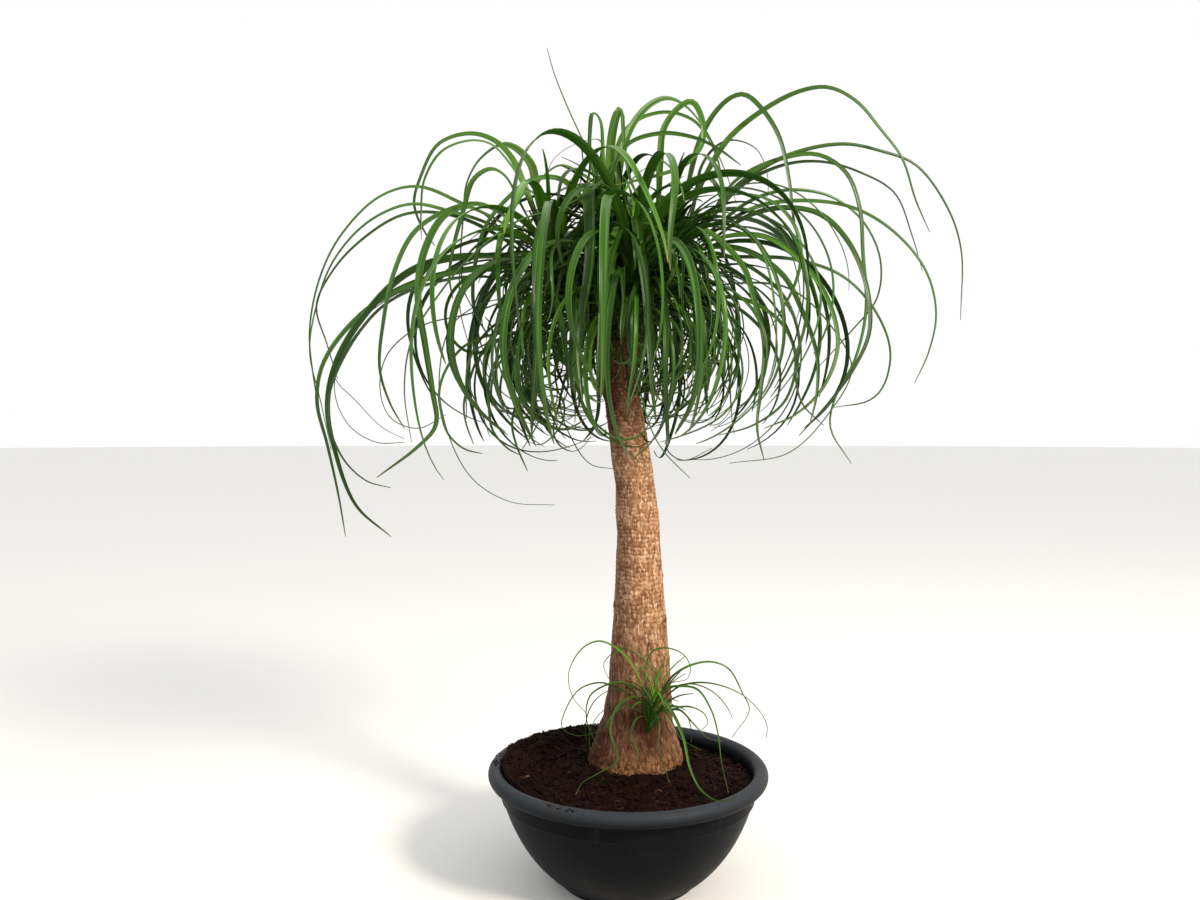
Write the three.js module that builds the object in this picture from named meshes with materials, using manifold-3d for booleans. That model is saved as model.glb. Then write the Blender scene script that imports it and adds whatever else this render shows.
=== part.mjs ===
// A ponytail palm in a bowl pot: pot, peat, swollen trunk, four heads of strap leaves and a shoot at its foot.
// Millimetres, +Z up, +X right and +Y back as seen from the front. The origin is the middle of the pot's base.
import * as THREE from 'three';
import { mergeVertices } from 'three/addons/utils/BufferGeometryUtils.js';
import Module from 'manifold-3d';

const wasm = await Module();
wasm.setup();

const UP = new THREE.Vector3(0, 0, 1);
const FIT_GAP = 0.3;

// Pot: a thin-walled bowl with a curled lip, a plain band under it, and a flat base with drain holes.
const POT_SIDES = 36;
const POT_HEIGHT = 165;
const POT_RADIUS = 200;
const BASE_RADIUS = 98;
const WALL = 3.5;
const FLOOR = 4;
const LIP_RADIUS = 10.5;
const BAND_RADIUS = 181;
const BAND_FOOT = 121;
const BOWL_SHOULDER = [178, 118];
const BOWL_BEND = [154, 42];
const BOWL_HEEL = [99, 4];
const BOWL_STEPS = 4;
const DRAIN_HOLES = 6;
const DRAIN_HOLE_RADIUS = 6;
const DRAIN_CIRCLE = 57;

// Peat: nearly flush with the lip, heaped at the trunk, and lower at the right of the back.
const PEAT_HEIGHT = 158;
const PEAT_HEAP = 11;
const PEAT_SAG = 17;
const PEAT_CRUMB = 1.6;
const PEAT_RINGS = [177.1, 163, 138, 108, 82];

// Trunk: [height, radius, shift to the right]. Its foot is a plain drum in the peat.
const TRUNK = [
  [112, 62, 10], [117, 68, 10], [172, 68, 10], [203, 58.5, 12], [232, 49.5, 14.5], [272, 45.5, 17],
  [334, 41, 17], [375, 38, 17], [437, 33.5, 16], [498, 30.8, 15], [556, 29.3, 11], [610, 27.8, 4],
  [663, 26.7, -4], [696, 25.5, -10], [735, 26.5, -14], [754, 32, -14], [767, 34.5, -14], [776, 29, -14],
];
const TRUNK_SIDES = 20;
const TRUNK_ROWS = 38;
const FOOT_TOP = 172;
const RING_SCAR = 0.7;
const FISSURE = 1.6;

// Heads: where each stem leaves the trunk, where it ends, and the leaves that follow the rule.
const STEM_PLUG = { radius: 8.5, depth: 14 };
const HEADS = [
  { name: 'head_left', foot: [-36, 0, 765], top: [-116, -8, 893], count: 38, phase: 0.4 },
  { name: 'head_front', foot: [-12, -21, 765], top: [8, -62, 903], count: 34, phase: 1.9 },
  { name: 'head_back', foot: [-15, 22, 765], top: [-24, 70, 925], count: 52, phase: 3.1 },
  { name: 'head_right', foot: [9, 3, 765], top: [66, 8, 915], count: 42, phase: 5.0 },
];
const BASAL_PLUG = { radius: 5.5, depth: 12 };
const BASAL = { name: 'basal_shoot', foot: [27, -50, 228], top: [35, -78, 276], count: 4, phase: 0.8 };

// Leaves: every rib has this many even steps, and a blade is built on some of them.
const RIB_STEPS = 48;
const RULE_SEGMENTS = 6;
const NOTED_SEGMENTS = 7;
const GOLDEN_ANGLE = 2.39996;
const THINNEST = 1.1;
const LEAF_SPACE = 1.2;
const TURNS = 25;
const SLIVER = 0.03;

// The outlines below are noted at the trunk's depth, as seen from here: this far in front, left and high.
const VIEW = { distance: 1418, side: -40, height: 643 };

// Leaves that stand out singly: at is where each leaves its stem, from 0 low to 1 at the top, lean is how far
// back its tip lies, roll turns the blade to the viewer, and rib is its course after the stem, [across, up].
const LEFT_LEAVES = [
  { at: 0.85, width: 10, lean: 20, roll: 0.7, rib: [[-145, 985], [-165, 1030], [-190, 1055], [-225, 1065],
    [-270, 1050], [-295, 1005], [-305, 965], [-290, 925], [-275, 905]] },
  { at: 0.8, width: 9, lean: -25, roll: 0.8, rib: [[-145, 985], [-170, 1025], [-195, 1050], [-225, 1055],
    [-265, 1040], [-290, 1000], [-295, 955], [-295, 915]] },
  { at: 0.95, width: 12, lean: -40, roll: 0.7, rib: [[-130, 985], [-140, 1025], [-175, 1050], [-210, 1030],
    [-230, 995], [-235, 950], [-240, 880], [-240, 815], [-225, 755]] },
  { at: 0.75, width: 9, lean: -70, roll: 0.7, rib: [[-150, 960], [-175, 1005], [-195, 1015], [-220, 1000],
    [-235, 955], [-250, 900], [-255, 860], [-250, 830]] },
  { at: 0.6, width: 8, lean: 10, roll: 0.5, rib: [[-175, 935], [-235, 965], [-300, 990], [-355, 975],
    [-410, 920], [-440, 860], [-455, 785], [-450, 720], [-435, 635]] },
  { at: 0.55, width: 6, lean: 50, roll: 0.5, rib: [[-185, 930], [-255, 955], [-310, 965], [-370, 940],
    [-420, 885], [-445, 820], [-455, 755], [-440, 685], [-425, 615]] },
  { at: 0.5, width: 6, lean: -30, roll: 0.5, rib: [[-185, 920], [-255, 950], [-320, 950], [-385, 910],
    [-425, 865], [-445, 820], [-430, 765], [-415, 715]] },
  { at: 0.65, width: 11, lean: -100, roll: 0.7, rib: [[-160, 935], [-210, 965], [-260, 955], [-305, 925],
    [-335, 865], [-350, 795], [-355, 730], [-340, 680], [-320, 645]] },
  { at: 0.6, width: 12, lean: -130, roll: 0.8, rib: [[-170, 920], [-220, 960], [-260, 950], [-290, 900],
    [-300, 835], [-290, 765], [-280, 700], [-275, 650], [-300, 620], [-360, 575]] },
  { at: 0.35, width: 10, lean: -60, roll: 0.35, rib: [[-155, 875], [-240, 870], [-325, 845], [-390, 800],
    [-435, 740], [-445, 685], [-430, 620], [-415, 550], [-405, 490]] },
  { at: 0.45, width: 11, lean: -90, roll: 0.4, rib: [[-160, 885], [-240, 890], [-310, 870], [-370, 815],
    [-415, 745], [-430, 680], [-420, 615], [-390, 535], [-340, 490]] },
  { at: 0.3, width: 7, lean: 40, roll: 0.6, rib: [[-155, 865], [-255, 865], [-335, 835], [-400, 780],
    [-420, 720], [-390, 685], [-350, 645], [-320, 630]] },
  { at: 0.4, width: 6, lean: 80, roll: 0.6, rib: [[-185, 885], [-270, 865], [-350, 820], [-405, 755],
    [-420, 700], [-400, 650], [-360, 625], [-320, 625]] },
  { at: 0.25, width: 9, lean: -120, roll: 0.7, rib: [[-185, 860], [-270, 855], [-350, 820], [-410, 740],
    [-430, 670], [-410, 605], [-375, 570], [-340, 560]] },
  { at: 0.15, width: 9, lean: -20, roll: 0.7, rib: [[-155, 830], [-225, 810], [-300, 790], [-345, 750],
    [-355, 700], [-340, 660], [-300, 645], [-260, 665]] },
  { at: 0.9, width: 11, lean: -110, roll: 0.8, rib: [[-120, 965], [-145, 985], [-170, 950], [-185, 900],
    [-185, 845], [-180, 780]] },
  { at: 0.2, width: 5, lean: -150, roll: 0.6, rib: [[-185, 830], [-250, 795], [-270, 720], [-260, 645],
    [-225, 575], [-170, 540], [-105, 535]] },
  { at: 0.8, width: 11, lean: -170, roll: 0.3, rib: [[-120, 910], [-115, 865], [-100, 820], [-90, 765],
    [-85, 705]] },
];
const FRONT_LEAVES = [
  { at: 0.9, width: 13, lean: -120, roll: 0.6, rib: [[-5, 970], [-15, 1030], [-35, 1000], [-85, 965],
    [-160, 940], [-225, 890], [-275, 830], [-310, 770], [-320, 700], [-310, 625]] },
  { at: 0.8, width: 17, lean: -190, roll: 0.2, rib: [[-30, 935], [-45, 980], [-55, 990], [-55, 950],
    [-55, 885], [-65, 815], [-70, 755], [-65, 685]] },
  { at: 0.95, width: 13, lean: -150, roll: 0.4, rib: [[-20, 970], [-25, 1045], [-15, 1095], [-10, 1100],
    [-5, 1045], [5, 995], [25, 960], [40, 920], [45, 865]] },
  { at: 0.9, width: 13, lean: -150, roll: 0.4, rib: [[-30, 950], [-35, 1030], [-40, 1085], [-50, 1095],
    [-55, 1060], [-55, 1010], [-70, 965]] },
  { at: 0.85, width: 11, lean: -100, roll: 0.4, rib: [[-35, 935], [-45, 1000], [-55, 1040], [-65, 1045],
    [-65, 1010], [-85, 950]] },
  { at: 0.9, width: 4, lean: -60, roll: 0.3, rib: [[-40, 950], [-50, 1015], [-60, 1045], [-85, 1100],
    [-105, 1150], [-115, 1185]] },
  { at: 0.6, width: 15, lean: -170, roll: 0.3, rib: [[15, 915], [5, 940], [-10, 935], [-25, 895],
    [-35, 830], [-40, 765], [-45, 695]] },
  { at: 0.7, width: 13, lean: -190, roll: 0.3, rib: [[10, 935], [10, 950], [15, 915], [25, 845],
    [30, 770], [35, 700], [40, 655]] },
  { at: 0.95, width: 11, lean: -60, roll: 0.7, rib: [[-15, 970], [-10, 1030], [5, 1075], [30, 1105],
    [55, 1115], [80, 1105], [110, 1070], [135, 1020], [155, 965]] },
  { at: 0.9, width: 8, lean: -90, roll: 0.6, rib: [[-25, 950], [-20, 1015], [0, 1050], [45, 1065],
    [90, 1060], [125, 1045], [160, 1020]] },
  { at: 0.98, width: 10, lean: -90, roll: 0.6, rib: [[40, 960], [45, 1020], [50, 1070], [70, 1100],
    [90, 1110], [105, 1085], [105, 1050], [80, 1020], [40, 1005], [-25, 990]] },
  { at: 0.7, width: 12, lean: -100, roll: 0.6, rib: [[-60, 965], [-95, 1000], [-135, 1000], [-175, 970],
    [-205, 930], [-220, 870], [-220, 815], [-195, 770]] },
];
const BACK_LEAVES = [
  { at: 0.95, width: 8, lean: 60, roll: 0.6, rib: [[-25, 965], [-10, 1060], [15, 1085], [55, 1095],
    [90, 1085], [110, 1065], [125, 1035], [140, 970]] },
  { at: 0.8, width: 12, lean: 60, roll: 0.6, rib: [[-40, 985], [-70, 1010], [-95, 1020], [-115, 1010],
    [-135, 985]] },
  { at: 0.9, width: 4, lean: 80, roll: 0.5, rib: [[-40, 1015], [-40, 1055], [-75, 1050], [-105, 1030],
    [-115, 1010]] },
];
const RIGHT_LEAVES = [
  { at: 0.95, width: 12, lean: -30, roll: 0.7, rib: [[80, 970], [100, 1050], [120, 1090], [145, 1115],
    [165, 1120], [190, 1100], [215, 1060], [230, 995], [235, 950], [245, 900]] },
  { at: 0.9, width: 11, lean: 10, roll: 0.6, rib: [[90, 960], [115, 1015], [145, 1060], [195, 1100],
    [245, 1125], [285, 1130], [325, 1110], [360, 1070], [390, 1030], [410, 970], [430, 925]] },
  { at: 0.8, width: 9, lean: 50, roll: 0.5, rib: [[110, 945], [160, 995], [230, 1035], [305, 1050],
    [360, 1040], [410, 1020], [455, 960], [475, 900], [475, 800]] },
  { at: 0.85, width: 9, lean: -60, roll: 0.6, rib: [[105, 935], [155, 1000], [220, 1030], [270, 1035],
    [310, 1010], [330, 960], [335, 895], [340, 815], [325, 745], [295, 685], [290, 645], [320, 595]] },
  { at: 0.75, width: 8, lean: 20, roll: 0.5, rib: [[110, 935], [160, 990], [220, 1020], [275, 1025],
    [330, 1010], [380, 980], [405, 920], [420, 870]] },
  { at: 0.65, width: 11, lean: -20, roll: 0.5, rib: [[115, 920], [180, 960], [245, 970], [320, 960],
    [380, 925], [425, 870], [440, 810], [430, 755], [410, 710]] },
  { at: 0.7, width: 7, lean: 90, roll: 0.6, rib: [[115, 925], [175, 970], [230, 985], [290, 975],
    [335, 940], [360, 885], [355, 830], [320, 785], [265, 725]] },
  { at: 0.6, width: 11, lean: -90, roll: 0.7, rib: [[120, 915], [175, 950], [225, 960], [275, 950],
    [315, 910], [340, 850], [345, 785], [325, 735], [290, 685], [245, 635]] },
  { at: 0.4, width: 8, lean: 30, roll: 0.6, rib: [[105, 885], [175, 890], [245, 885], [310, 860],
    [355, 810], [375, 755], [365, 705], [345, 685], [295, 675]] },
  { at: 0.9, width: 6, lean: 60, roll: 0.5, rib: [[90, 950], [105, 1020], [130, 1050], [155, 1055],
    [185, 1040], [200, 995], [195, 960]] },
  { at: 0.5, width: 11, lean: -120, roll: 0.8, rib: [[110, 910], [190, 920], [245, 885], [285, 830],
    [300, 765], [280, 705], [240, 665], [195, 645]] },
  { at: 0.45, width: 11, lean: -150, roll: 0.8, rib: [[105, 900], [165, 900], [220, 865], [250, 810],
    [270, 750], [270, 695], [260, 650]] },
  { at: 0.7, width: 11, lean: -180, roll: 0.6, rib: [[80, 920], [105, 930], [135, 910], [165, 875],
    [180, 830], [195, 765], [190, 700], [185, 645], [195, 600]] },
  { at: 0.75, width: 11, lean: -150, roll: 0.4, rib: [[65, 920], [85, 895], [100, 830], [110, 765],
    [115, 700]] },
  { at: 0.35, width: 9, lean: -70, roll: 0.7, rib: [[110, 895], [175, 875], [225, 830], [245, 770],
    [240, 720], [250, 680], [280, 650]] },
  { at: 0.15, width: 10, lean: -60, roll: 0.7, rib: [[105, 830], [165, 830], [220, 795], [240, 745],
    [225, 685], [180, 650], [130, 635]] },
  { at: 0.25, width: 5, lean: 60, roll: 0.6, rib: [[130, 850], [230, 845], [295, 785], [320, 730],
    [290, 670], [230, 610], [145, 595]] },
];
const BASAL_LEAVES = [
  { at: 0.9, width: 5, lean: -100, roll: 0.5, rib: [[25, 270], [10, 300], [-10, 325], [-40, 340],
    [-65, 330], [-85, 295], [-80, 260], [-60, 235]] },
  { at: 0.95, width: 4, lean: -85, roll: 0.5, rib: [[40, 270], [35, 300], [15, 320], [-5, 330],
    [-25, 320], [-35, 305], [-25, 280]] },
  { at: 0.95, width: 4, lean: -95, roll: 0.5, rib: [[25, 280], [25, 300], [35, 325], [55, 330],
    [80, 320], [90, 300], [85, 285], [65, 280]] },
  { at: 0.85, width: 5, lean: -70, roll: 0.5, rib: [[50, 270], [65, 290], [90, 305], [120, 310],
    [145, 300], [165, 265], [175, 240], [150, 200]] },
  { at: 0.7, width: 4, lean: -90, roll: 0.5, rib: [[55, 260], [75, 275], [110, 280], [150, 270],
    [180, 250], [200, 220], [200, 200]] },
  { at: 0.8, width: 5, lean: -130, roll: 0.6, rib: [[50, 270], [75, 275], [100, 270], [120, 240],
    [130, 205], [135, 165], [145, 120]] },
  { at: 0.7, width: 7, lean: -168, roll: 0.7, rib: [[45, 260], [65, 235], [80, 200], [90, 155],
    [105, 125], [125, 110], [145, 110], [160, 118]] },
  { at: 0.75, width: 5, lean: -80, roll: 0.6, rib: [[15, 270], [-10, 280], [-35, 275], [-55, 260],
    [-60, 230], [-50, 200], [-40, 185]] },
  { at: 0.6, width: 4, lean: -70, roll: 0.5, rib: [[10, 255], [-10, 270], [-40, 280], [-70, 270],
    [-90, 240], [-95, 215], [-75, 203], [-45, 208], [-25, 222]] },
  { at: 0.8, width: 6, lean: -155, roll: 0.7, rib: [[10, 260], [-15, 245], [-25, 210], [-15, 168],
    [-40, 150], [-65, 135], [-75, 118]] },
  { at: 0.3, width: 5, lean: -110, roll: 0.6, rib: [[15, 230], [5, 210], [10, 190], [15, 175], [5, 162]] },
  { at: 0.4, width: 4, lean: -110, roll: 0.6, rib: [[50, 240], [65, 220], [75, 200], [90, 190], [105, 182]] },
  { at: 0.5, width: 5, lean: -60, roll: 0.6, rib: [[55, 250], [70, 245], [90, 245], [110, 235],
    [115, 220], [105, 210]] },
  { at: 0.45, width: 5, lean: -130, roll: 0.6, rib: [[55, 240], [75, 240], [95, 220], [115, 200],
    [135, 195]] },
  { at: 0.3, width: 3, lean: -140, roll: 0.6, rib: [[45, 225], [45, 190], [55, 150], [60, 135]] },
  { at: 0.35, width: 4, lean: -75, roll: 0.6, rib: [[15, 240], [-5, 245], [-25, 230], [-35, 210]] },
];

// Seeded draws, so that the plant grows the same each time.
let seed = 2024;
function draw(low, high) {
  seed = (seed * 1664525 + 1013904223) % 4294967296;
  return low + (high - low) * (seed / 4294967296);
}

function smooth(low, high, value) {
  return THREE.MathUtils.smoothstep(value, low, high);
}

// A closed geometry as a solid: seams merged by place, and faces that shrank to a line dropped.
function solidOf(geometry) {
  const bare = geometry.clone();
  bare.deleteAttribute('normal');
  bare.deleteAttribute('uv');
  const merged = mergeVertices(bare, 1e-3);
  const corners = merged.index.array;
  const triangles = [];
  for (let i = 0; i < corners.length; i += 3) {
    const face = [corners[i], corners[i + 1], corners[i + 2]];
    if (new Set(face).size === 3) triangles.push(...face);
  }
  return new wasm.Manifold(new wasm.Mesh({
    numProp: 3,
    vertProperties: new Float32Array(merged.attributes.position.array),
    triVerts: new Uint32Array(triangles),
  }));
}

function meshOf(name, solid, color, roughness) {
  const shape = solid.getMesh();
  const geometry = new THREE.BufferGeometry();
  geometry.setAttribute('position', new THREE.BufferAttribute(new Float32Array(shape.vertProperties), 3));
  geometry.setIndex(new THREE.BufferAttribute(new Uint32Array(shape.triVerts), 1));
  geometry.computeVertexNormals();
  const mesh = new THREE.Mesh(geometry, new THREE.MeshStandardMaterial({ color, roughness, metalness: 0 }));
  mesh.name = name;
  return mesh;
}

function turned(profile, sides) {
  const points = profile.map(([radius, height]) => new THREE.Vector2(radius, height));
  return new THREE.LatheGeometry(points, sides).rotateX(Math.PI / 2);
}

// Points of the bowl's wall, from its heel up to its shoulder, moved in by the given thickness.
function bowlWall(inset, lift) {
  const [heel, bend, shoulder] = [BOWL_HEEL, BOWL_BEND, BOWL_SHOULDER].map(
    ([radius, height]) => new THREE.Vector2(radius - inset, height + lift),
  );
  const curve = new THREE.QuadraticBezierCurve(heel, bend, shoulder);
  return curve.getPoints(BOWL_STEPS).map((point) => [point.x, point.y]);
}

function lipArc(radius, from, to, steps) {
  const centre = [POT_RADIUS - LIP_RADIUS, POT_HEIGHT - LIP_RADIUS];
  const arc = [];
  for (let i = 0; i <= steps; i += 1) {
    const angle = THREE.MathUtils.degToRad(from + (to - from) * (i / steps));
    arc.push([centre[0] + radius * Math.cos(angle), centre[1] + radius * Math.sin(angle)]);
  }
  return arc;
}

function makePot() {
  const profile = [
    [0, 0], [BASE_RADIUS, 0],
    ...bowlWall(0, 0),
    [BAND_RADIUS - 0.5, BAND_FOOT],
    ...lipArc(LIP_RADIUS - WALL, 190, -60, 3),
    ...lipArc(LIP_RADIUS, -60, 170, 5),
    [BAND_RADIUS - WALL, 148], [BAND_RADIUS - WALL, BAND_FOOT],
    ...bowlWall(WALL, 2).reverse(),
    [BASE_RADIUS - 5, FLOOR], [0, FLOOR],
  ];
  let pot = solidOf(turned(profile, POT_SIDES));
  for (let i = 0; i < DRAIN_HOLES; i += 1) {
    const angle = (i + 0.5) * 2 * Math.PI / DRAIN_HOLES;
    const drill = new THREE.CylinderGeometry(DRAIN_HOLE_RADIUS, DRAIN_HOLE_RADIUS, 3 * FLOOR, 8);
    drill.rotateX(Math.PI / 2);
    drill.translate(DRAIN_CIRCLE * Math.cos(angle), DRAIN_CIRCLE * Math.sin(angle), FLOOR / 2);
    pot = pot.subtract(solidOf(drill));
  }
  return pot;
}

// The height of the peat at a place.
function peatHeight(x, y) {
  const fromTrunk = Math.hypot(x - TRUNK[0][2], y) - TRUNK[2][1];
  const heap = PEAT_HEAP * Math.exp(-((Math.max(fromTrunk, 0) / 34) ** 2));
  const out = Math.hypot(x, y) / POT_RADIUS;
  const toRightBack = Math.max(0, (0.78 * x + 0.62 * y) / (Math.hypot(x, y) + 1));
  const sag = PEAT_SAG * toRightBack ** 2 * smooth(0.45, 0.85, out);
  const crumbs = Math.sin(x / 11 + y / 23) * Math.sin(y / 9 - x / 31) + 0.6 * Math.sin(x / 5 - y / 7);
  return PEAT_HEIGHT + heap - sag + PEAT_CRUMB * crumbs;
}

function makePeat() {
  const wall = bowlWall(WALL + 2 * FIT_GAP, 2 + FIT_GAP);
  const edge = PEAT_RINGS[0];
  const profile = [
    [0, FLOOR + FIT_GAP], [BASE_RADIUS - 6, FLOOR + FIT_GAP],
    ...wall,
    [edge, BAND_FOOT],
    ...PEAT_RINGS.map((radius) => [radius, PEAT_HEIGHT]),
    [0, PEAT_HEIGHT],
  ];
  const peat = turned(profile, POT_SIDES);
  const place = peat.attributes.position;
  for (let i = 0; i < place.count; i += 1) {
    if (place.getZ(i) > PEAT_HEIGHT - 1) place.setZ(i, peatHeight(place.getX(i), place.getY(i)));
  }
  const [[low, , shift], [, radius]] = TRUNK.slice(0, 2);
  const drum = new THREE.CylinderGeometry(radius + FIT_GAP, radius + FIT_GAP, 100, TRUNK_SIDES);
  drum.rotateX(Math.PI / 2).translate(shift, 0, low - FIT_GAP + 50);
  return solidOf(peat).subtract(solidOf(drum));
}

// The trunk's radius and its shift to the right at a height.
function trunkAt(height) {
  const above = TRUNK.findIndex(([level]) => level > height);
  if (above < 1) return TRUNK[above === 0 ? 0 : TRUNK.length - 1].slice(1);
  const [low, high] = [TRUNK[above - 1], TRUNK[above]];
  const part = (height - low[0]) / (high[0] - low[0]);
  return [THREE.MathUtils.lerp(low[1], high[1], part), THREE.MathUtils.lerp(low[2], high[2], part)];
}

function makeTrunk() {
  const [bottom, top] = [TRUNK[0][0], TRUNK[TRUNK.length - 1][0]];
  const trunk = new THREE.CylinderGeometry(1, 1, 1, TRUNK_SIDES, TRUNK_ROWS).rotateX(Math.PI / 2);
  const place = trunk.attributes.position;
  for (let i = 0; i < place.count; i += 1) {
    const row = Math.round((place.getZ(i) + 0.5) * TRUNK_ROWS);
    const height = bottom + (top - bottom) * row / TRUNK_ROWS;
    const around = Math.atan2(place.getY(i), place.getX(i));
    const [radius, shift] = trunkAt(height);
    const bare = smooth(FOOT_TOP, FOOT_TOP + 12, height) * (1 - smooth(725, 745, height));
    const scar = RING_SCAR * (row % 2 === 0 ? 1 : -1);
    const fissure = FISSURE * Math.sin(5 * around + height / 60) * (1 - smooth(190, 330, height));
    const reach = (radius + bare * (scar + fissure)) * Math.hypot(place.getX(i), place.getY(i));
    place.setXYZ(i, shift + reach * Math.cos(around), reach * Math.sin(around), height);
  }
  return solidOf(trunk);
}

// A stem stands on the line from its foot to its top. The plug below its foot fits a pocket in the trunk.
function stemOf({ foot, top }, plug) {
  const start = new THREE.Vector3(...foot);
  const way = new THREE.Vector3(...top).sub(start);
  return { start, length: way.length(), way: way.clone().normalize(), plug };
}

function alongStem(stem, distance) {
  return stem.start.clone().addScaledVector(stem.way, distance);
}

function setOnStem(geometry, stem) {
  const upright = new THREE.Quaternion().setFromUnitVectors(UP, stem.way);
  return geometry.applyQuaternion(upright).translate(stem.start.x, stem.start.y, stem.start.z);
}

function pocketOf(stem) {
  const { radius, depth } = stem.plug;
  const pocket = new THREE.CylinderGeometry(radius + FIT_GAP, radius + FIT_GAP, 3 * depth, 8);
  pocket.rotateX(Math.PI / 2).translate(0, 0, depth / 2 - FIT_GAP);
  return solidOf(setOnStem(pocket, stem));
}

// The stem's own girth: a plain plug, a sheathed belly above it, and a slim growing tip.
function stemRadius(stem, distance) {
  const { radius } = stem.plug;
  const belly = radius * 1.45;
  if (distance < 12) return radius;
  const share = distance / stem.length;
  const swell = THREE.MathUtils.lerp(radius, belly, smooth(0.08, 0.4, share));
  return swell * (1 - 0.72 * smooth(0.55, 1.05, share));
}

function makeStem(stem) {
  const rows = 5;
  const { depth } = stem.plug;
  const core = new THREE.CylinderGeometry(1, 1, 1, 8, rows).rotateX(Math.PI / 2);
  const place = core.attributes.position;
  for (let i = 0; i < place.count; i += 1) {
    const distance = -depth + (stem.length + depth) * (place.getZ(i) + 0.5);
    const radius = stemRadius(stem, distance);
    place.setXYZ(i, place.getX(i) * radius, place.getY(i) * radius, distance);
  }
  return solidOf(setOnStem(core, stem));
}

// The rib of a leaf by rule: it climbs, bends over and falls, and may curl back under itself.
function ruledRib({ root, heading, rise, fall, hold, swing, length }) {
  const points = [root.clone()];
  const across = [];
  for (let i = 0; i <= RIB_STEPS; i += 1) {
    const turn = heading + swing * (i / RIB_STEPS) ** 2;
    across.push(new THREE.Vector3(-Math.sin(turn), Math.cos(turn), 0));
    if (i === RIB_STEPS) break;
    const s = (i + 0.5) / RIB_STEPS;
    const bend = (1 - hold) * s + hold * s * s * (3 - 2 * s);
    const climb = rise - fall * bend;
    const level = Math.cos(climb);
    const step = new THREE.Vector3(level * Math.cos(turn), level * Math.sin(turn), Math.sin(climb));
    points.push(points[i].clone().addScaledVector(step, length / RIB_STEPS));
  }
  return { points, across };
}

// A point of a noted outline at its own depth, along the line of sight.
function atDepth([x, z], depth) {
  const k = (VIEW.distance + depth) / VIEW.distance;
  return new THREE.Vector3(VIEW.side + (x - VIEW.side) * k, depth, VIEW.height + (z - VIEW.height) * k);
}

// The rib of a leaf that is noted singly: a smooth curve from its root through its outline.
function notedRib(root, rib, lean) {
  const points = [root.clone()];
  rib.forEach((spot, i) => {
    const share = (i + 1) / rib.length;
    points.push(atDepth(spot, THREE.MathUtils.lerp(root.y, lean, share)));
  });
  const curve = new THREE.CatmullRomCurve3(points, false, 'centripetal');
  const sideways = (point) => Math.abs(point.x - root.x);
  const reach = points.reduce((far, point) => (sideways(point) > sideways(far) ? point : far));
  const turn = Math.atan2(reach.y - root.y, reach.x - root.x);
  const side = new THREE.Vector3(-Math.sin(turn), Math.cos(turn), 0);
  return { points: curve.getSpacedPoints(RIB_STEPS), across: Array(RIB_STEPS + 1).fill(side) };
}

function leafWidth(width, s) {
  const taper = Math.min(1, 1.18 * (1 - s) ** 0.6);
  return Math.max(1.6, width * taper * (0.45 + 0.55 * smooth(0, 0.16, s)));
}

// A leaf's sections at the steps that its blade is built on: place, way to an edge, upper side, half sizes.
function sectionsOf({ points, across, width, roll, twist, segments }) {
  const sections = [];
  for (let i = 0; i <= segments; i += 1) {
    const step = Math.round(i * RIB_STEPS / segments);
    const s = step / RIB_STEPS;
    const [before, after] = [points[Math.max(step - 1, 0)], points[Math.min(step + 1, RIB_STEPS)]];
    const along = after.clone().sub(before).normalize();
    const flat = across[step].clone().addScaledVector(along, -across[step].dot(along)).normalize();
    const angle = roll * smooth(0, 0.3, s) + twist * s;
    const side = flat.applyAxisAngle(along, angle);
    const wide = leafWidth(width, s);
    const deep = Math.max(THINNEST, 0.17 * wide);
    sections.push({ at: points[step], side, face: along.clone().cross(side), half: wide / 2, deep });
  }
  return sections;
}

// A blade is a bent three-sided bar: two edges and a keel. Each cap's middle is drawn to the keel.
function bladeOf(sections) {
  const rows = sections.length - 1;
  const blade = new THREE.CylinderGeometry(1, 1, 1, 3, rows);
  const place = blade.attributes.position;
  for (let i = 0; i < place.count; i += 1) {
    const { at, side, face, half, deep } = sections[Math.round((place.getY(i) + 0.5) * rows)];
    const middle = Math.hypot(place.getX(i), place.getZ(i)) < 0.5;
    const out = middle ? 0 : place.getX(i) / Math.sin(Math.PI / 3);
    const down = middle ? 1 : (place.getZ(i) + 0.5) / 1.5;
    const spot = at.clone().addScaledVector(side, out * half).addScaledVector(face, -down * deep);
    place.setXYZ(i, spot.x, spot.y, spot.z);
  }
  return solidOf(blade);
}

// The outside of a joined solid alone, without slivers: a pocket that the blades seal between them is filled.
function outerShell(solid) {
  const [whole] = solid.decompose().sort((a, b) => b.volume() - a.volume());
  return whole.simplify(SLIVER);
}

// What stands so far, as straight stretches: leaves as flat bars, trunk and stems as round ones.
const stretches = [];

function roundStretch(from, to, radius, owner) {
  stretches.push({ from, to, radius, owner, step: 0 });
}

function leafStretches(sections, owner) {
  return sections.slice(1).map((end, i) => {
    const start = sections[i];
    return { from: start.at, to: end.at, start, end, owner, step: i };
  });
}

// How far a stretch's own body reaches in a direction.
function reachOf(stretch, way) {
  if (stretch.radius) return stretch.radius;
  const reaches = [stretch.start, stretch.end].map(
    ({ side, face, half, deep }) => Math.abs(way.dot(side)) * half + Math.abs(way.dot(face)) * deep,
  );
  return Math.max(...reaches);
}

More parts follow.
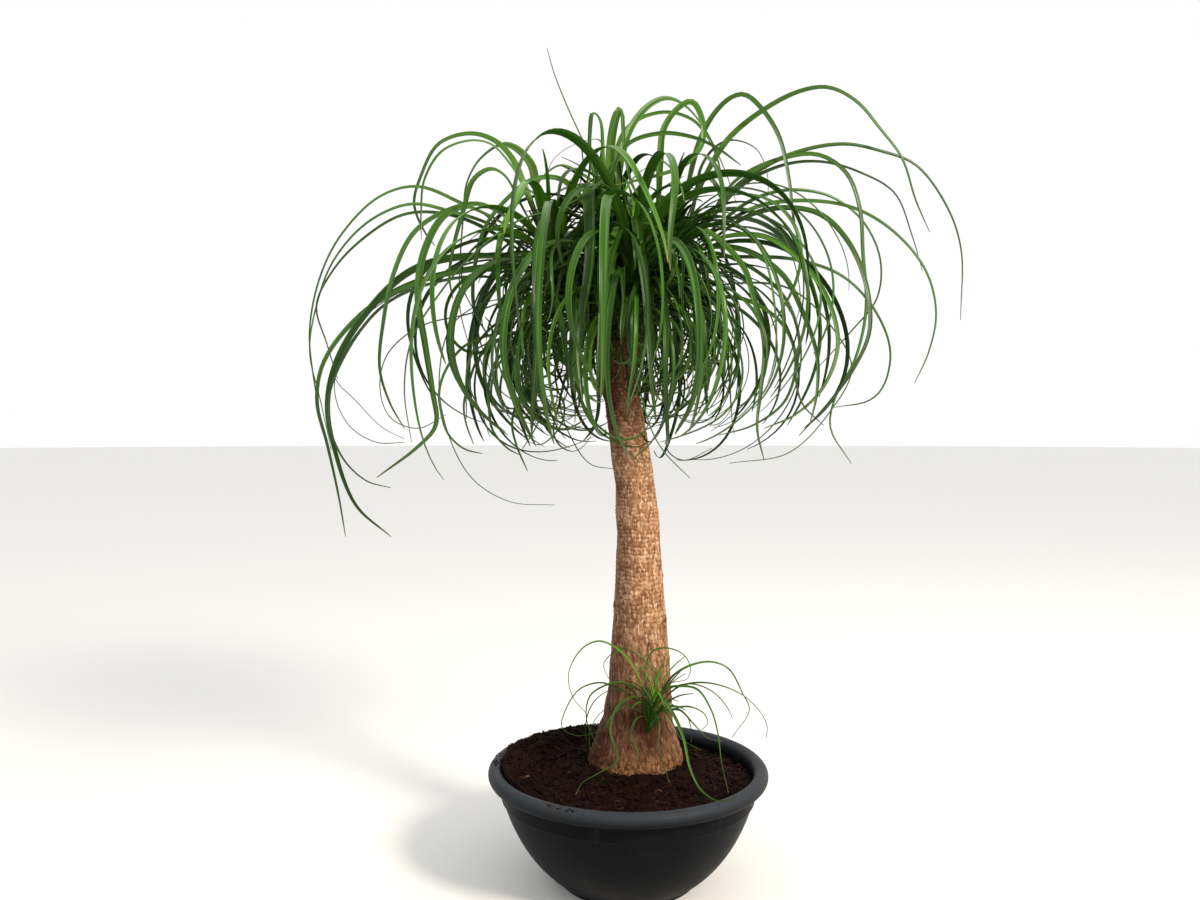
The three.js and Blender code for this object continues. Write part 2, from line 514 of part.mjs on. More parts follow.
// The shortest way from one straight stretch to another.
function shortestWay(a, b) {
  const u = a.to.clone().sub(a.from);
  const v = b.to.clone().sub(b.from);
  const w = a.from.clone().sub(b.from);
  const [uu, uv, vv, uw, vw] = [u.dot(u), u.dot(v), v.dot(v), u.dot(w), v.dot(w)];
  const area = uu * vv - uv * uv;
  const clamp = THREE.MathUtils.clamp;
  let s = area > 1e-9 ? clamp((uv * vw - vv * uw) / area, 0, 1) : 0;
  let t = (uv * s + vw) / vv;
  if (t < 0 || t > 1) {
    t = clamp(t, 0, 1);
    s = clamp((uv * t - uw) / uu, 0, 1);
  }
  return w.addScaledVector(u, s).addScaledVector(v, -t);
}

// Counts the places where a leaf would come too near to its own node's leaves, and to anything else.
function touches(sections, owner) {
  const found = { own: 0, other: 0 };
  for (const mine of leafStretches(sections, owner)) {
    const middle = mine.from.clone().add(mine.to).multiplyScalar(0.5);
    const length = mine.from.distanceTo(mine.to);
    for (const theirs of stretches) {
      if (theirs.owner === owner && (mine.step === 0 || theirs.step === 0)) continue;
      const far = middle.distanceTo(theirs.from) - length / 2 - theirs.from.distanceTo(theirs.to);
      if (far > 50 + (theirs.radius ?? 0)) continue;
      const way = shortestWay(mine, theirs);
      const gap = way.length();
      way.normalize();
      if (gap > reachOf(mine, way) + reachOf(theirs, way) + LEAF_SPACE) continue;
      found[theirs.owner === owner ? 'own' : 'other'] += 1;
    }
  }
  return found;
}

// Keeps off the peat and the pot's lip.
function clearsGround(sections) {
  return sections.every(({ at }) => {
    const out = Math.hypot(at.x, at.y);
    if (out > POT_RADIUS + 8) return at.z > 0;
    return at.z > (out > PEAT_RINGS[0] - 12 ? POT_HEIGHT : peatHeight(at.x, at.y)) + 3;
  });
}

// Tries a leaf in turned, leaned or shortened variants until it stands clear of all, or else of the other nodes
// and most of its own. What can't stand clear of the other nodes is left out.
function settle(variant, owner) {
  let best = null;
  let fewest = Infinity;
  for (let turn = 0; turn < TURNS && fewest > 0; turn += 1) {
    const sections = variant(Math.ceil(turn / 2) * (turn % 2 === 0 ? 1 : -1), turn);
    const found = touches(sections, owner);
    if (found.other === 0 && found.own < fewest && clearsGround(sections)) {
      best = sections;
      fewest = found.own;
    }
  }
  if (best) stretches.push(...leafStretches(best, owner));
  return best;
}

function notedLeaf(stem, name, { at, width, lean, roll, rib }) {
  const root = alongStem(stem, stem.length * (0.2 + 0.76 * at));
  const twist = draw(-0.3, 0.3);
  return settle((shift) => {
    const course = notedRib(root, rib, lean + 9 * shift);
    return sectionsOf({ ...course, width, roll, twist, segments: NOTED_SEGMENTS });
  }, name);
}

// A leaf by rule. Low ones are old, narrow and curl under; high ones stand up and arch, and the topmost are
// still short.
function ruledLeaf(stem, name, age, phase) {
  const root = alongStem(stem, stem.length * (0.2 + 0.76 * age));
  const outward = Math.atan2(stem.way.y, stem.way.x);
  const heading = phase + draw(-0.15, 0.15);
  const tilt = Math.acos(stem.way.z) * Math.cos(heading - outward);
  const rise = THREE.MathUtils.degToRad(THREE.MathUtils.lerp(28, 78, age) + draw(-8, 8)) - 0.55 * tilt;
  const fall = THREE.MathUtils.degToRad(THREE.MathUtils.lerp(232, 168, age) + draw(-20, 20));
  const grown = 1 - 0.42 * smooth(0.7, 1, age);
  const length = THREE.MathUtils.lerp(335, 610, smooth(-0.1, 0.8, age)) * grown * draw(0.86, 1.1);
  const width = THREE.MathUtils.lerp(7.5, 12, smooth(0, 0.6, age)) * draw(0.85, 1.1);
  const hold = draw(-0.1, 0.55);
  const swing = draw(-0.5, 0.5);
  const roll = draw(-0.45, 0.45);
  const twist = draw(-0.6, 0.6);
  return settle((shift, turn) => {
    const course = ruledRib({
      root,
      heading: heading + 0.08 * shift,
      rise: rise + 0.06 * (turn % 3 - 1),
      fall,
      hold,
      swing,
      length: length * (1 - 0.012 * turn),
    });
    return sectionsOf({ ...course, width, roll, twist, segments: RULE_SEGMENTS });
  }, name);
}

function ruledBasalLeaf(stem, name, age, phase) {
  const root = alongStem(stem, stem.length * (0.3 + 0.6 * age));
  const heading = phase + draw(-0.2, 0.2);
  const rise = draw(0.5, 1.2);
  const length = draw(110, 170);
  return settle((shift) => {
    const towards = heading + 0.08 * shift;
    const course = ruledRib({ root, heading: towards, rise, fall: 2.4, hold: 0.2, swing: 0, length });
    return sectionsOf({ ...course, width: 4, roll: 0.2, twist: 0, segments: RULE_SEGMENTS });
  }, name);
}

const group = new THREE.Group();
group.add(meshOf('pot', makePot(), 0x34383d, 0.55));
group.add(meshOf('soil', makePeat(), 0x2e1a12, 0.95));

for (let height = FOOT_TOP; height < 770; height += 20) {
  const [radius, shift] = trunkAt(height);
  const [, nextShift] = trunkAt(height + 20);
  const from = new THREE.Vector3(shift, 0, height);
  roundStretch(from, new THREE.Vector3(nextShift, 0, Math.min(height + 20, 776)), radius + 2.5, 'trunk');
}

const shoots = [...HEADS, BASAL].map((shoot) => {
  const stem = stemOf(shoot, shoot === BASAL ? BASAL_PLUG : STEM_PLUG);
  const belly = stem.plug.radius * 1.5;
  roundStretch(alongStem(stem, 8), alongStem(stem, stem.length), belly, shoot.name);
  return { ...shoot, stem, blades: [] };
});
const noted = {
  head_left: LEFT_LEAVES, head_front: FRONT_LEAVES, head_back: BACK_LEAVES, head_right: RIGHT_LEAVES,
  basal_shoot: BASAL_LEAVES,
};
for (const shoot of shoots) {
  for (const leaf of noted[shoot.name]) shoot.blades.push(notedLeaf(shoot.stem, shoot.name, leaf));
}
const mostLeaves = Math.max(...shoots.map(({ count }) => count));
for (let i = 0; i < mostLeaves; i += 1) {
  for (const { name, stem, blades, count, phase } of shoots.filter((shoot) => i < shoot.count)) {
    const grow = name === BASAL.name ? ruledBasalLeaf : ruledLeaf;
    blades.push(grow(stem, name, (i + 0.5) / count, phase + i * GOLDEN_ANGLE));
  }
}

let trunk = makeTrunk();
for (const { stem } of shoots) trunk = trunk.subtract(pocketOf(stem));
group.add(meshOf('trunk', trunk, 0x9a7350, 0.9));

for (const { name, stem, blades } of shoots) {
  let shoot = makeStem(stem);
  for (const sections of blades) {
    if (sections) shoot = shoot.add(bladeOf(sections));
  }
  group.add(meshOf(name, outerShell(shoot), name === BASAL.name ? 0x4c7a35 : 0x2f5a26, 0.45));
}

export default group;
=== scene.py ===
# A potted ponytail palm: a bowl pot of peat, a corky swollen-footed trunk, four heads of strap leaves and a
# shoot at the trunk's foot. Sizes in the script are millimetres, and every mesh is turned to metres at its
# end. +Z is up, +X right and +Y back as seen from the front. The origin is the middle of the pot's base.
import math

import bmesh
import bpy
import numpy as np
from mathutils import Matrix, Vector, noise


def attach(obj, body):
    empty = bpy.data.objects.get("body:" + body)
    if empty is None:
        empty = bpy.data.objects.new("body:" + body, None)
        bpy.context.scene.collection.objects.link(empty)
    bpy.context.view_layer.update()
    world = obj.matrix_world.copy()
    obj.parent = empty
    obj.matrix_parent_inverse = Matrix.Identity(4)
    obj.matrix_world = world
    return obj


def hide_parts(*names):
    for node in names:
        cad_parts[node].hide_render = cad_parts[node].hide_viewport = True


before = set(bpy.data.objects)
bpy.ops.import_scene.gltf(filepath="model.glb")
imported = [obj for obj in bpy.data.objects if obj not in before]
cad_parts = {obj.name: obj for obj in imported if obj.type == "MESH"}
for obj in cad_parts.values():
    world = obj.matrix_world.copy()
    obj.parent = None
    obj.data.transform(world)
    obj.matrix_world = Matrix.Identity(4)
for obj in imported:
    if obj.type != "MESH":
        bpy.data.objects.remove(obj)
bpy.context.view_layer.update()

# A millimetre in metres, and the play between the peat and the pot.
MM = 0.001
FIT_GAP = 0.3

# Pot, as in the solids. The bowl's shoulder, bend and heel are (radius, height).
POT_HEIGHT = 165
POT_RADIUS = 200
BASE_RADIUS = 98
WALL = 3.5
FLOOR = 4
LIP_RADIUS = 10.5
BAND_RADIUS = 181
BAND_FOOT = 121
BOWL_SHOULDER = (178, 118)
BOWL_BEND = (154, 42)
BOWL_HEEL = (99, 4)
DRAIN_HOLES = 6
DRAIN_HOLE_RADIUS = 6
DRAIN_CIRCLE = 57
POT_SIDES = 144

# Peat. The pile is how much higher it lies against the lip at the left. Each lump is (height, size, offset
# of its noise).
PEAT_HEIGHT = 158
PEAT_HEAP = 11
PEAT_SAG = 17
PEAT_CRUMB = 1.6
PEAT_EDGE = 177.1
PEAT_PILE = 12
PEAT_LUMPS = [(2.6, 17, 0), (1.9, 8, 4), (1.5, 4, 7)]
PEAT_SIDES = 260

# Loose stuff: how much lies on the peat, the crumbs on the lip as (count, from angle, to angle), and the
# headings of a piece that may lie any way.
CRUMBS = 1500
CHIPS = 190
FIBRES = 110
LIP_CRUMBS = [(150, 1.7, 3.3), (30, -2.15, -1.85)]
ANY_WAY = (0, 6.28)

# Trunk: height, radius and shift to the right.
TRUNK = np.array([
    (112, 62, 10), (117, 68, 10), (172, 68, 10), (203, 58.5, 12), (232, 49.5, 14.5), (272, 45.5, 17),
    (334, 41, 17), (375, 38, 17), (437, 33.5, 16), (498, 30.8, 15), (556, 29.3, 11), (610, 27.8, 4),
    (663, 26.7, -4), (696, 25.5, -10), (735, 26.5, -14), (754, 32, -14), (767, 34.5, -14), (776, 29, -14),
])
TRUNK_BOTTOM = 112
FOOT_TOP = 172
TRUNK_TOP = 776
TRUNK_SIDES = 168

# Bark: (height, distance between leaf scars), knots as (turn, height, size), the basal shoot's heading, how
# deep scars and cracks are, and how wide the plates between the cracks are.
SCAR_SPACINGS = [(112, 14), (230, 12), (300, 9), (370, 7), (450, 6), (560, 5.5), (776, 5)]
KNOTS = [(-0.5, 374, 1.0), (-0.2, 436, 0.5), (3.35, 395, 0.6), (-1.3, 343, 0.7)]
SHOOT_TURN = -1.2
SCAR_DEPTH = 0.9
CRACK_DEPTH = 1.1
PLATE_WIDTH = 3.1

# Heads: name, where the stem leaves the trunk, where it ends, its plug's radius, how many of its leaves
# follow the rule, and which way the first of them heads.
HEADS = [
    ("head_left", (-36, 0, 765), (-116, -8, 893), 8.5, 38, 0.4),
    ("head_front", (-12, -21, 765), (8, -62, 903), 8.5, 34, 1.9),
    ("head_back", (-15, 22, 765), (-24, 70, 925), 8.5, 52, 3.1),
    ("head_right", (9, 3, 765), (66, 8, 915), 8.5, 42, 5.0),
    ("basal_shoot", (27, -50, 228), (35, -78, 276), 5.5, 4, 0.8),
]

# Leaves in the solids: steps along a rib, straight stretches of a leaf that follows the rule and of a noted
# one, the turn from one leaf to the next, the least half thickness, the space between leaves, and how many
# variants are tried.
RIB_STEPS = 48
RULE_SEGMENTS = 6
NOTED_SEGMENTS = 7
GOLDEN_ANGLE = 2.39996
THINNEST = 1.1
LEAF_SPACE = 1.2
TURNS = 25

# Leaves here: rows along each kind of blade, their thickness, and how many curled, clasping and upright
# young leaves each crown head and the basal shoot have beyond those of the solids. Curled leaves hang no
# lower than a height, and keep clear of the bare trunk within a half width, a depth and a top.
NOTED_ROWS = 64
RULED_ROWS = 36
CURLED_ROWS = 40
CLASPING_ROWS = 18
SPEAR_ROWS = 16
BLADE_THICKNESS = 0.6
CROWN_EXTRAS = (66, 46, 12)
SHOOT_EXTRAS = (0, 14, 4)
CURLED_LOWEST = 628
BARE_TRUNK = (62, 20, 694)

# The studio's floor and lamp, in metres and watts.
STUDIO_RADIUS = 40
LAMP_PLACE = (2.3, -2.3, 2.6)
LAMP_AIM = (0, 0, 0.65)
LAMP_SIZE = 0.8
LAMP_POWER = 170
LAMP_COLOUR = "#fff4e4"

# The viewer, from whose place the noted outlines are seen: distance in front, side, height, degrees that
# it looks down, and lens.
VIEW_DISTANCE = 1418
VIEW_SIDE = -40
VIEW_HEIGHT = 643
VIEW_PITCH = 1.16
VIEW_LENS = 29.73

# Leaves that stand out singly: (place on the stem, width, depth of the tip, roll, course as (across, up)).
LEFT_LEAVES = [
    (0.85, 10, 20, 0.7, [(-145, 985), (-165, 1030), (-190, 1055), (-225, 1065), (-270, 1050), (-295, 1005),
        (-305, 965), (-290, 925), (-275, 905)]),
    (0.8, 9, -25, 0.8, [(-145, 985), (-170, 1025), (-195, 1050), (-225, 1055), (-265, 1040), (-290, 1000),
        (-295, 955), (-295, 915)]),
    (0.95, 12, -40, 0.7, [(-130, 985), (-140, 1025), (-175, 1050), (-210, 1030), (-230, 995), (-235, 950),
        (-240, 880), (-240, 815), (-225, 755)]),
    (0.75, 9, -70, 0.7, [(-150, 960), (-175, 1005), (-195, 1015), (-220, 1000), (-235, 955), (-250, 900),
        (-255, 860), (-250, 830)]),
    (0.6, 8, 10, 0.5, [(-175, 935), (-235, 965), (-300, 990), (-355, 975), (-410, 920), (-440, 860),
        (-455, 785), (-450, 720), (-435, 635)]),
    (0.55, 6, 50, 0.5, [(-185, 930), (-255, 955), (-310, 965), (-370, 940), (-420, 885), (-445, 820),
        (-455, 755), (-440, 685), (-425, 615)]),
    (0.5, 6, -30, 0.5, [(-185, 920), (-255, 950), (-320, 950), (-385, 910), (-425, 865), (-445, 820),
        (-430, 765), (-415, 715)]),
    (0.65, 11, -100, 0.7, [(-160, 935), (-210, 965), (-260, 955), (-305, 925), (-335, 865), (-350, 795),
        (-355, 730), (-340, 680), (-320, 645)]),
    (0.6, 12, -130, 0.8, [(-170, 920), (-220, 960), (-260, 950), (-290, 900), (-300, 835), (-290, 765),
        (-280, 700), (-275, 650), (-300, 620), (-360, 575)]),
    (0.35, 10, -60, 0.35, [(-155, 875), (-240, 870), (-325, 845), (-390, 800), (-435, 740), (-445, 685),
        (-430, 620), (-415, 550), (-405, 490)]),
    (0.45, 11, -90, 0.4, [(-160, 885), (-240, 890), (-310, 870), (-370, 815), (-415, 745), (-430, 680),
        (-420, 615), (-390, 535), (-340, 490)]),
    (0.3, 7, 40, 0.6, [(-155, 865), (-255, 865), (-335, 835), (-400, 780), (-420, 720), (-390, 685),
        (-350, 645), (-320, 630)]),
    (0.4, 6, 80, 0.6, [(-185, 885), (-270, 865), (-350, 820), (-405, 755), (-420, 700), (-400, 650),
        (-360, 625), (-320, 625)]),
    (0.25, 9, -120, 0.7, [(-185, 860), (-270, 855), (-350, 820), (-410, 740), (-430, 670), (-410, 605),
        (-375, 570), (-340, 560)]),
    (0.15, 9, -20, 0.7, [(-155, 830), (-225, 810), (-300, 790), (-345, 750), (-355, 700), (-340, 660),
        (-300, 645), (-260, 665)]),
    (0.9, 11, -110, 0.8, [(-120, 965), (-145, 985), (-170, 950), (-185, 900), (-185, 845), (-180, 780)]),
    (0.2, 5, -150, 0.6, [(-185, 830), (-250, 795), (-270, 720), (-260, 645), (-225, 575), (-170, 540),
        (-105, 535)]),
    (0.8, 11, -170, 0.3, [(-120, 910), (-115, 865), (-100, 820), (-90, 765), (-85, 705)]),
]
FRONT_LEAVES = [
    (0.9, 13, -120, 0.6, [(-5, 970), (-15, 1030), (-35, 1000), (-85, 965), (-160, 940), (-225, 890),
        (-275, 830), (-310, 770), (-320, 700), (-310, 625)]),
    (0.8, 17, -190, 0.2, [(-30, 935), (-45, 980), (-55, 990), (-55, 950), (-55, 885), (-65, 815),
        (-70, 755), (-65, 685)]),
    (0.95, 13, -150, 0.4, [(-20, 970), (-25, 1045), (-15, 1095), (-10, 1100), (-5, 1045), (5, 995),
        (25, 960), (40, 920), (45, 865)]),
    (0.9, 13, -150, 0.4, [(-30, 950), (-35, 1030), (-40, 1085), (-50, 1095), (-55, 1060), (-55, 1010),
        (-70, 965)]),
    (0.85, 11, -100, 0.4, [(-35, 935), (-45, 1000), (-55, 1040), (-65, 1045), (-65, 1010), (-85, 950)]),
    (0.9, 4, -60, 0.3, [(-40, 950), (-50, 1015), (-60, 1045), (-85, 1100), (-105, 1150), (-115, 1185)]),
    (0.6, 15, -170, 0.3, [(15, 915), (5, 940), (-10, 935), (-25, 895), (-35, 830), (-40, 765), (-45, 695)]),
    (0.7, 13, -190, 0.3, [(10, 935), (10, 950), (15, 915), (25, 845), (30, 770), (35, 700), (40, 655)]),
    (0.95, 11, -60, 0.7, [(-15, 970), (-10, 1030), (5, 1075), (30, 1105), (55, 1115), (80, 1105),
        (110, 1070), (135, 1020), (155, 965)]),
    (0.9, 8, -90, 0.6, [(-25, 950), (-20, 1015), (0, 1050), (45, 1065), (90, 1060), (125, 1045),
        (160, 1020)]),
    (0.98, 10, -90, 0.6, [(40, 960), (45, 1020), (50, 1070), (70, 1100), (90, 1110), (105, 1085),
        (105, 1050), (80, 1020), (40, 1005), (-25, 990)]),
    (0.7, 12, -100, 0.6, [(-60, 965), (-95, 1000), (-135, 1000), (-175, 970), (-205, 930), (-220, 870),
        (-220, 815), (-195, 770)]),
]
BACK_LEAVES = [
    (0.95, 8, 60, 0.6, [(-25, 965), (-10, 1060), (15, 1085), (55, 1095), (90, 1085), (110, 1065),
        (125, 1035), (140, 970)]),
    (0.8, 12, 60, 0.6, [(-40, 985), (-70, 1010), (-95, 1020), (-115, 1010), (-135, 985)]),
    (0.9, 4, 80, 0.5, [(-40, 1015), (-40, 1055), (-75, 1050), (-105, 1030), (-115, 1010)]),
]
RIGHT_LEAVES = [
    (0.95, 12, -30, 0.7, [(80, 970), (100, 1050), (120, 1090), (145, 1115), (165, 1120), (190, 1100),
        (215, 1060), (230, 995), (235, 950), (245, 900)]),
    (0.9, 11, 10, 0.6, [(90, 960), (115, 1015), (145, 1060), (195, 1100), (245, 1125), (285, 1130),
        (325, 1110), (360, 1070), (390, 1030), (410, 970), (430, 925)]),
    (0.8, 9, 50, 0.5, [(110, 945), (160, 995), (230, 1035), (305, 1050), (360, 1040), (410, 1020),
        (455, 960), (475, 900), (475, 800)]),
    (0.85, 9, -60, 0.6, [(105, 935), (155, 1000), (220, 1030), (270, 1035), (310, 1010), (330, 960),
        (335, 895), (340, 815), (325, 745), (295, 685), (290, 645), (320, 595)]),
    (0.75, 8, 20, 0.5, [(110, 935), (160, 990), (220, 1020), (275, 1025), (330, 1010), (380, 980),
        (405, 920), (420, 870)]),
    (0.65, 11, -20, 0.5, [(115, 920), (180, 960), (245, 970), (320, 960), (380, 925), (425, 870),
        (440, 810), (430, 755), (410, 710)]),
    (0.7, 7, 90, 0.6, [(115, 925), (175, 970), (230, 985), (290, 975), (335, 940), (360, 885), (355, 830),
        (320, 785), (265, 725)]),
    (0.6, 11, -90, 0.7, [(120, 915), (175, 950), (225, 960), (275, 950), (315, 910), (340, 850), (345, 785),
        (325, 735), (290, 685), (245, 635)]),
    (0.4, 8, 30, 0.6, [(105, 885), (175, 890), (245, 885), (310, 860), (355, 810), (375, 755), (365, 705),
        (345, 685), (295, 675)]),
    (0.9, 6, 60, 0.5, [(90, 950), (105, 1020), (130, 1050), (155, 1055), (185, 1040), (200, 995),
        (195, 960)]),
    (0.5, 11, -120, 0.8, [(110, 910), (190, 920), (245, 885), (285, 830), (300, 765), (280, 705),
        (240, 665), (195, 645)]),
    (0.45, 11, -150, 0.8, [(105, 900), (165, 900), (220, 865), (250, 810), (270, 750), (270, 695),
        (260, 650)]),
    (0.7, 11, -180, 0.6, [(80, 920), (105, 930), (135, 910), (165, 875), (180, 830), (195, 765), (190, 700),
        (185, 645), (195, 600)]),
    (0.75, 11, -150, 0.4, [(65, 920), (85, 895), (100, 830), (110, 765), (115, 700)]),
    (0.35, 9, -70, 0.7, [(110, 895), (175, 875), (225, 830), (245, 770), (240, 720), (250, 680),
        (280, 650)]),
    (0.15, 10, -60, 0.7, [(105, 830), (165, 830), (220, 795), (240, 745), (225, 685), (180, 650),
        (130, 635)]),
    (0.25, 5, 60, 0.6, [(130, 850), (230, 845), (295, 785), (320, 730), (290, 670), (230, 610),
        (145, 595)]),
]
BASAL_LEAVES = [
    (0.9, 5, -100, 0.5, [(25, 270), (10, 300), (-10, 325), (-40, 340), (-65, 330), (-85, 295), (-80, 260),
        (-60, 235)]),
    (0.95, 4, -85, 0.5, [(40, 270), (35, 300), (15, 320), (-5, 330), (-25, 320), (-35, 305), (-25, 280)]),
    (0.95, 4, -95, 0.5, [(25, 280), (25, 300), (35, 325), (55, 330), (80, 320), (90, 300), (85, 285),
        (65, 280)]),
    (0.85, 5, -70, 0.5, [(50, 270), (65, 290), (90, 305), (120, 310), (145, 300), (165, 265), (175, 240),
        (150, 200)]),
    (0.7, 4, -90, 0.5, [(55, 260), (75, 275), (110, 280), (150, 270), (180, 250), (200, 220), (200, 200)]),
    (0.8, 5, -130, 0.6, [(50, 270), (75, 275), (100, 270), (120, 240), (130, 205), (135, 165), (145, 120)]),
    (0.7, 7, -168, 0.7, [(45, 260), (65, 235), (80, 200), (90, 155), (105, 125), (125, 110), (145, 110),
        (160, 118)]),
    (0.75, 5, -80, 0.6, [(15, 270), (-10, 280), (-35, 275), (-55, 260), (-60, 230), (-50, 200),
        (-40, 185)]),
    (0.6, 4, -70, 0.5, [(10, 255), (-10, 270), (-40, 280), (-70, 270), (-90, 240), (-95, 215), (-75, 203),
        (-45, 208), (-25, 222)]),
    (0.8, 6, -155, 0.7, [(10, 260), (-15, 245), (-25, 210), (-15, 168), (-40, 150), (-65, 135),
        (-75, 118)]),
    (0.3, 5, -110, 0.6, [(15, 230), (5, 210), (10, 190), (15, 175), (5, 162)]),
    (0.4, 4, -110, 0.6, [(50, 240), (65, 220), (75, 200), (90, 190), (105, 182)]),
    (0.5, 5, -60, 0.6, [(55, 250), (70, 245), (90, 245), (110, 235), (115, 220), (105, 210)]),
    (0.45, 5, -130, 0.6, [(55, 240), (75, 240), (95, 220), (115, 200), (135, 195)]),
    (0.3, 3, -140, 0.6, [(45, 225), (45, 190), (55, 150), (60, 135)]),
    (0.35, 4, -75, 0.6, [(15, 240), (-5, 245), (-25, 230), (-35, 210)]),
]

# Thin leaves, as in the lists of single leaves: coils low on the left, and ends that cross in front of the
# trunk.
LEFT_THREADS = [
    (0.3, 5, -45, 0.4, [(-54, 772), (-72, 715), (-54, 657), (-23, 629), (11, 619), (31, 626)]),
    (0.2, 2.5, -40, 0.4, [(-97, 686), (-80, 629), (-54, 594), (-21, 587)]),
    (0.35, 5.5, -70, 0.3, [(-140, 786), (-199, 778), (-235, 762), (-260, 730), (-270, 699), (-268, 671),
        (-258, 638), (-235, 616), (-209, 609)]),
    (0.3, 6.5, -60, 0.5, [(-130, 789), (-181, 773), (-214, 745), (-228, 709), (-235, 679), (-232, 653),
        (-221, 622)]),
    (0.4, 6, -85, 0.3, [(-120, 784), (-163, 768), (-189, 740), (-199, 709), (-199, 676), (-194, 643),
        (-173, 617), (-155, 607)]),
    (0.25, 5.5, -90, 0.8, [(-140, 771), (-171, 745), (-182, 712), (-181, 686), (-171, 674), (-140, 676),
        (-104, 673)]),
    (0.3, 6, -95, 0.6, [(-150, 771), (-181, 743), (-195, 709), (-193, 681), (-181, 670), (-155, 666),
        (-134, 665), (-128, 658), (-137, 638), (-152, 615)]),
    (0.4, 5, -100, 0.3, [(-109, 771), (-127, 748), (-140, 717), (-158, 684), (-166, 653), (-160, 622),
        (-144, 584)]),
    (0.2, 6, -90, 0.5, [(-109, 750), (-127, 725), (-128, 697), (-109, 673), (-89, 665), (-48, 662)]),
    (0.2, 3.5, -80, 0.3, [(-127, 735), (-140, 699), (-130, 684), (-109, 692), (-93, 684), (-93, 658),
        (-107, 635), (-127, 622), (-148, 630)]),
    (0.25, 3.5, -70, 0.3, [(-89, 722), (-99, 679), (-107, 643), (-99, 622), (-79, 612), (-61, 622),
        (-45, 650)]),
    (0.3, 5.5, -75, 0.6, [(-191, 771), (-222, 753), (-231, 725), (-223, 694), (-209, 666), (-198, 633)]),
    (0.15, 3, -60, 0.3, [(-125, 755), (-155, 753), (-164, 735), (-158, 709), (-140, 702), (-120, 709)]),
    (0.15, 3, -65, 0.3, [(-120, 743), (-145, 763), (-160, 748), (-150, 727), (-130, 730)]),
]
FRONT_THREADS = [
    (0.2, 6, -60, 0.4, [(-62, 786), (-76, 729), (-64, 679), (-40, 646), (-9, 629), (20, 637), (37, 666)]),
    (0.15, 2.5, -50, 0.3, [(17, 700), (34, 643), (52, 612), (89, 574)]),
]
RIGHT_THREADS = [
    (0.3, 5, -50, 0.4, [(89, 786), (74, 729), (52, 657), (29, 620), (6, 600)]),
    (0.2, 2.5, -30, 0.3, [(57, 657), (57, 614), (80, 600), (120, 617)]),
]

# Of each head: how young its top leaves look, how much its single leaves are turned to show their upper
# sides, and how slim its leaves are beside those of the solids.
HEAD_LOOKS = {
    "head_left": (1.0, 0.95, 1.1), "head_front": (0.4, 0.6, 1.0), "head_back": (0.3, 0.6, 0.92),
    "head_right": (0.25, 0.45, 0.82), "basal_shoot": (0.05, 0.8, 0.66),
}

seed = 2024


def draw(low, high):
    """The same seeded draws as the solids', so that each leaf stands where its solid does."""
    global seed
    seed = (seed * 1664525 + 1013904223) % 4294967296
    return low + (high - low) * (seed / 4294967296)


def smooth(low, high, value):
    share = np.clip((np.asarray(value, float) - low) / (high - low), 0, 1)
    return share * share * (3 - 2 * share)


def blend(low, high, share):
    return (1 - share) * low + share * high


def dot(a, b):
    return (a * b).sum(-1)


def unit(vectors):
    return vectors / np.maximum(np.linalg.norm(vectors, axis=-1, keepdims=True), 1e-12)


# The plant's course, as in the solids.

def trunk_at(height):
    """The trunk's radius and its shift to the right."""
    return np.interp(height, TRUNK[:, 0], TRUNK[:, 1]), np.interp(height, TRUNK[:, 0], TRUNK[:, 2])


def peat_height(x, y):
    """The solid peat's top: heaped up at the trunk, sagging at the right back, and crumbly."""
    from_trunk = np.hypot(x - TRUNK[0, 2], y) - TRUNK[2, 1]
    heap = PEAT_HEAP * np.exp(-((np.maximum(from_trunk, 0) / 34) ** 2))
    reach = np.hypot(x, y)
    to_right_back = np.maximum(0, (0.78 * x + 0.62 * y) / (reach + 1))
    sag = PEAT_SAG * to_right_back**2 * smooth(0.45, 0.85, reach / POT_RADIUS)
    crumbs = np.sin(x / 11 + y / 23) * np.sin(y / 9 - x / 31) + 0.6 * np.sin(x / 5 - y / 7)
    return PEAT_HEIGHT + heap - sag + PEAT_CRUMB * crumbs


def curve_at(points, t):
    """Points of a centripetal Catmull-Rom curve."""
    knots = np.vstack([2 * points[0] - points[1], points, 2 * points[-1] - points[-2]])
    spans = len(points) - 1
    i = np.minimum(np.floor(spans * t).astype(int), spans - 1)
    w = (spans * t - i)[:, None]
    p0, p1, p2, p3 = (knots[i + k] for k in range(4))
    gaps = np.sqrt(np.linalg.norm(knots[1:] - knots[:-1], axis=1))[:, None]
    d0, d1, d2 = gaps[i], gaps[i + 1], gaps[i + 2]
    t1 = ((p1 - p0) / d0 - (p2 - p0) / (d0 + d1) + (p2 - p1) / d1) * d1
    t2 = ((p2 - p1) / d1 - (p3 - p1) / (d1 + d2) + (p3 - p2) / d2) * d1
    return p1 + t1 * w + (-3 * p1 + 3 * p2 - 2 * t1 - t2) * w**2 + (2 * p1 - 2 * p2 + t1 + t2) * w**3


def even_points(points):
    t = np.linspace(0, 1, 201)
    course = curve_at(points, t)
    lengths = np.concatenate([[0], np.cumsum(np.linalg.norm(np.diff(course, axis=0), axis=1))])
    return curve_at(points, np.interp(np.linspace(0, lengths[-1], RIB_STEPS + 1), lengths, t))


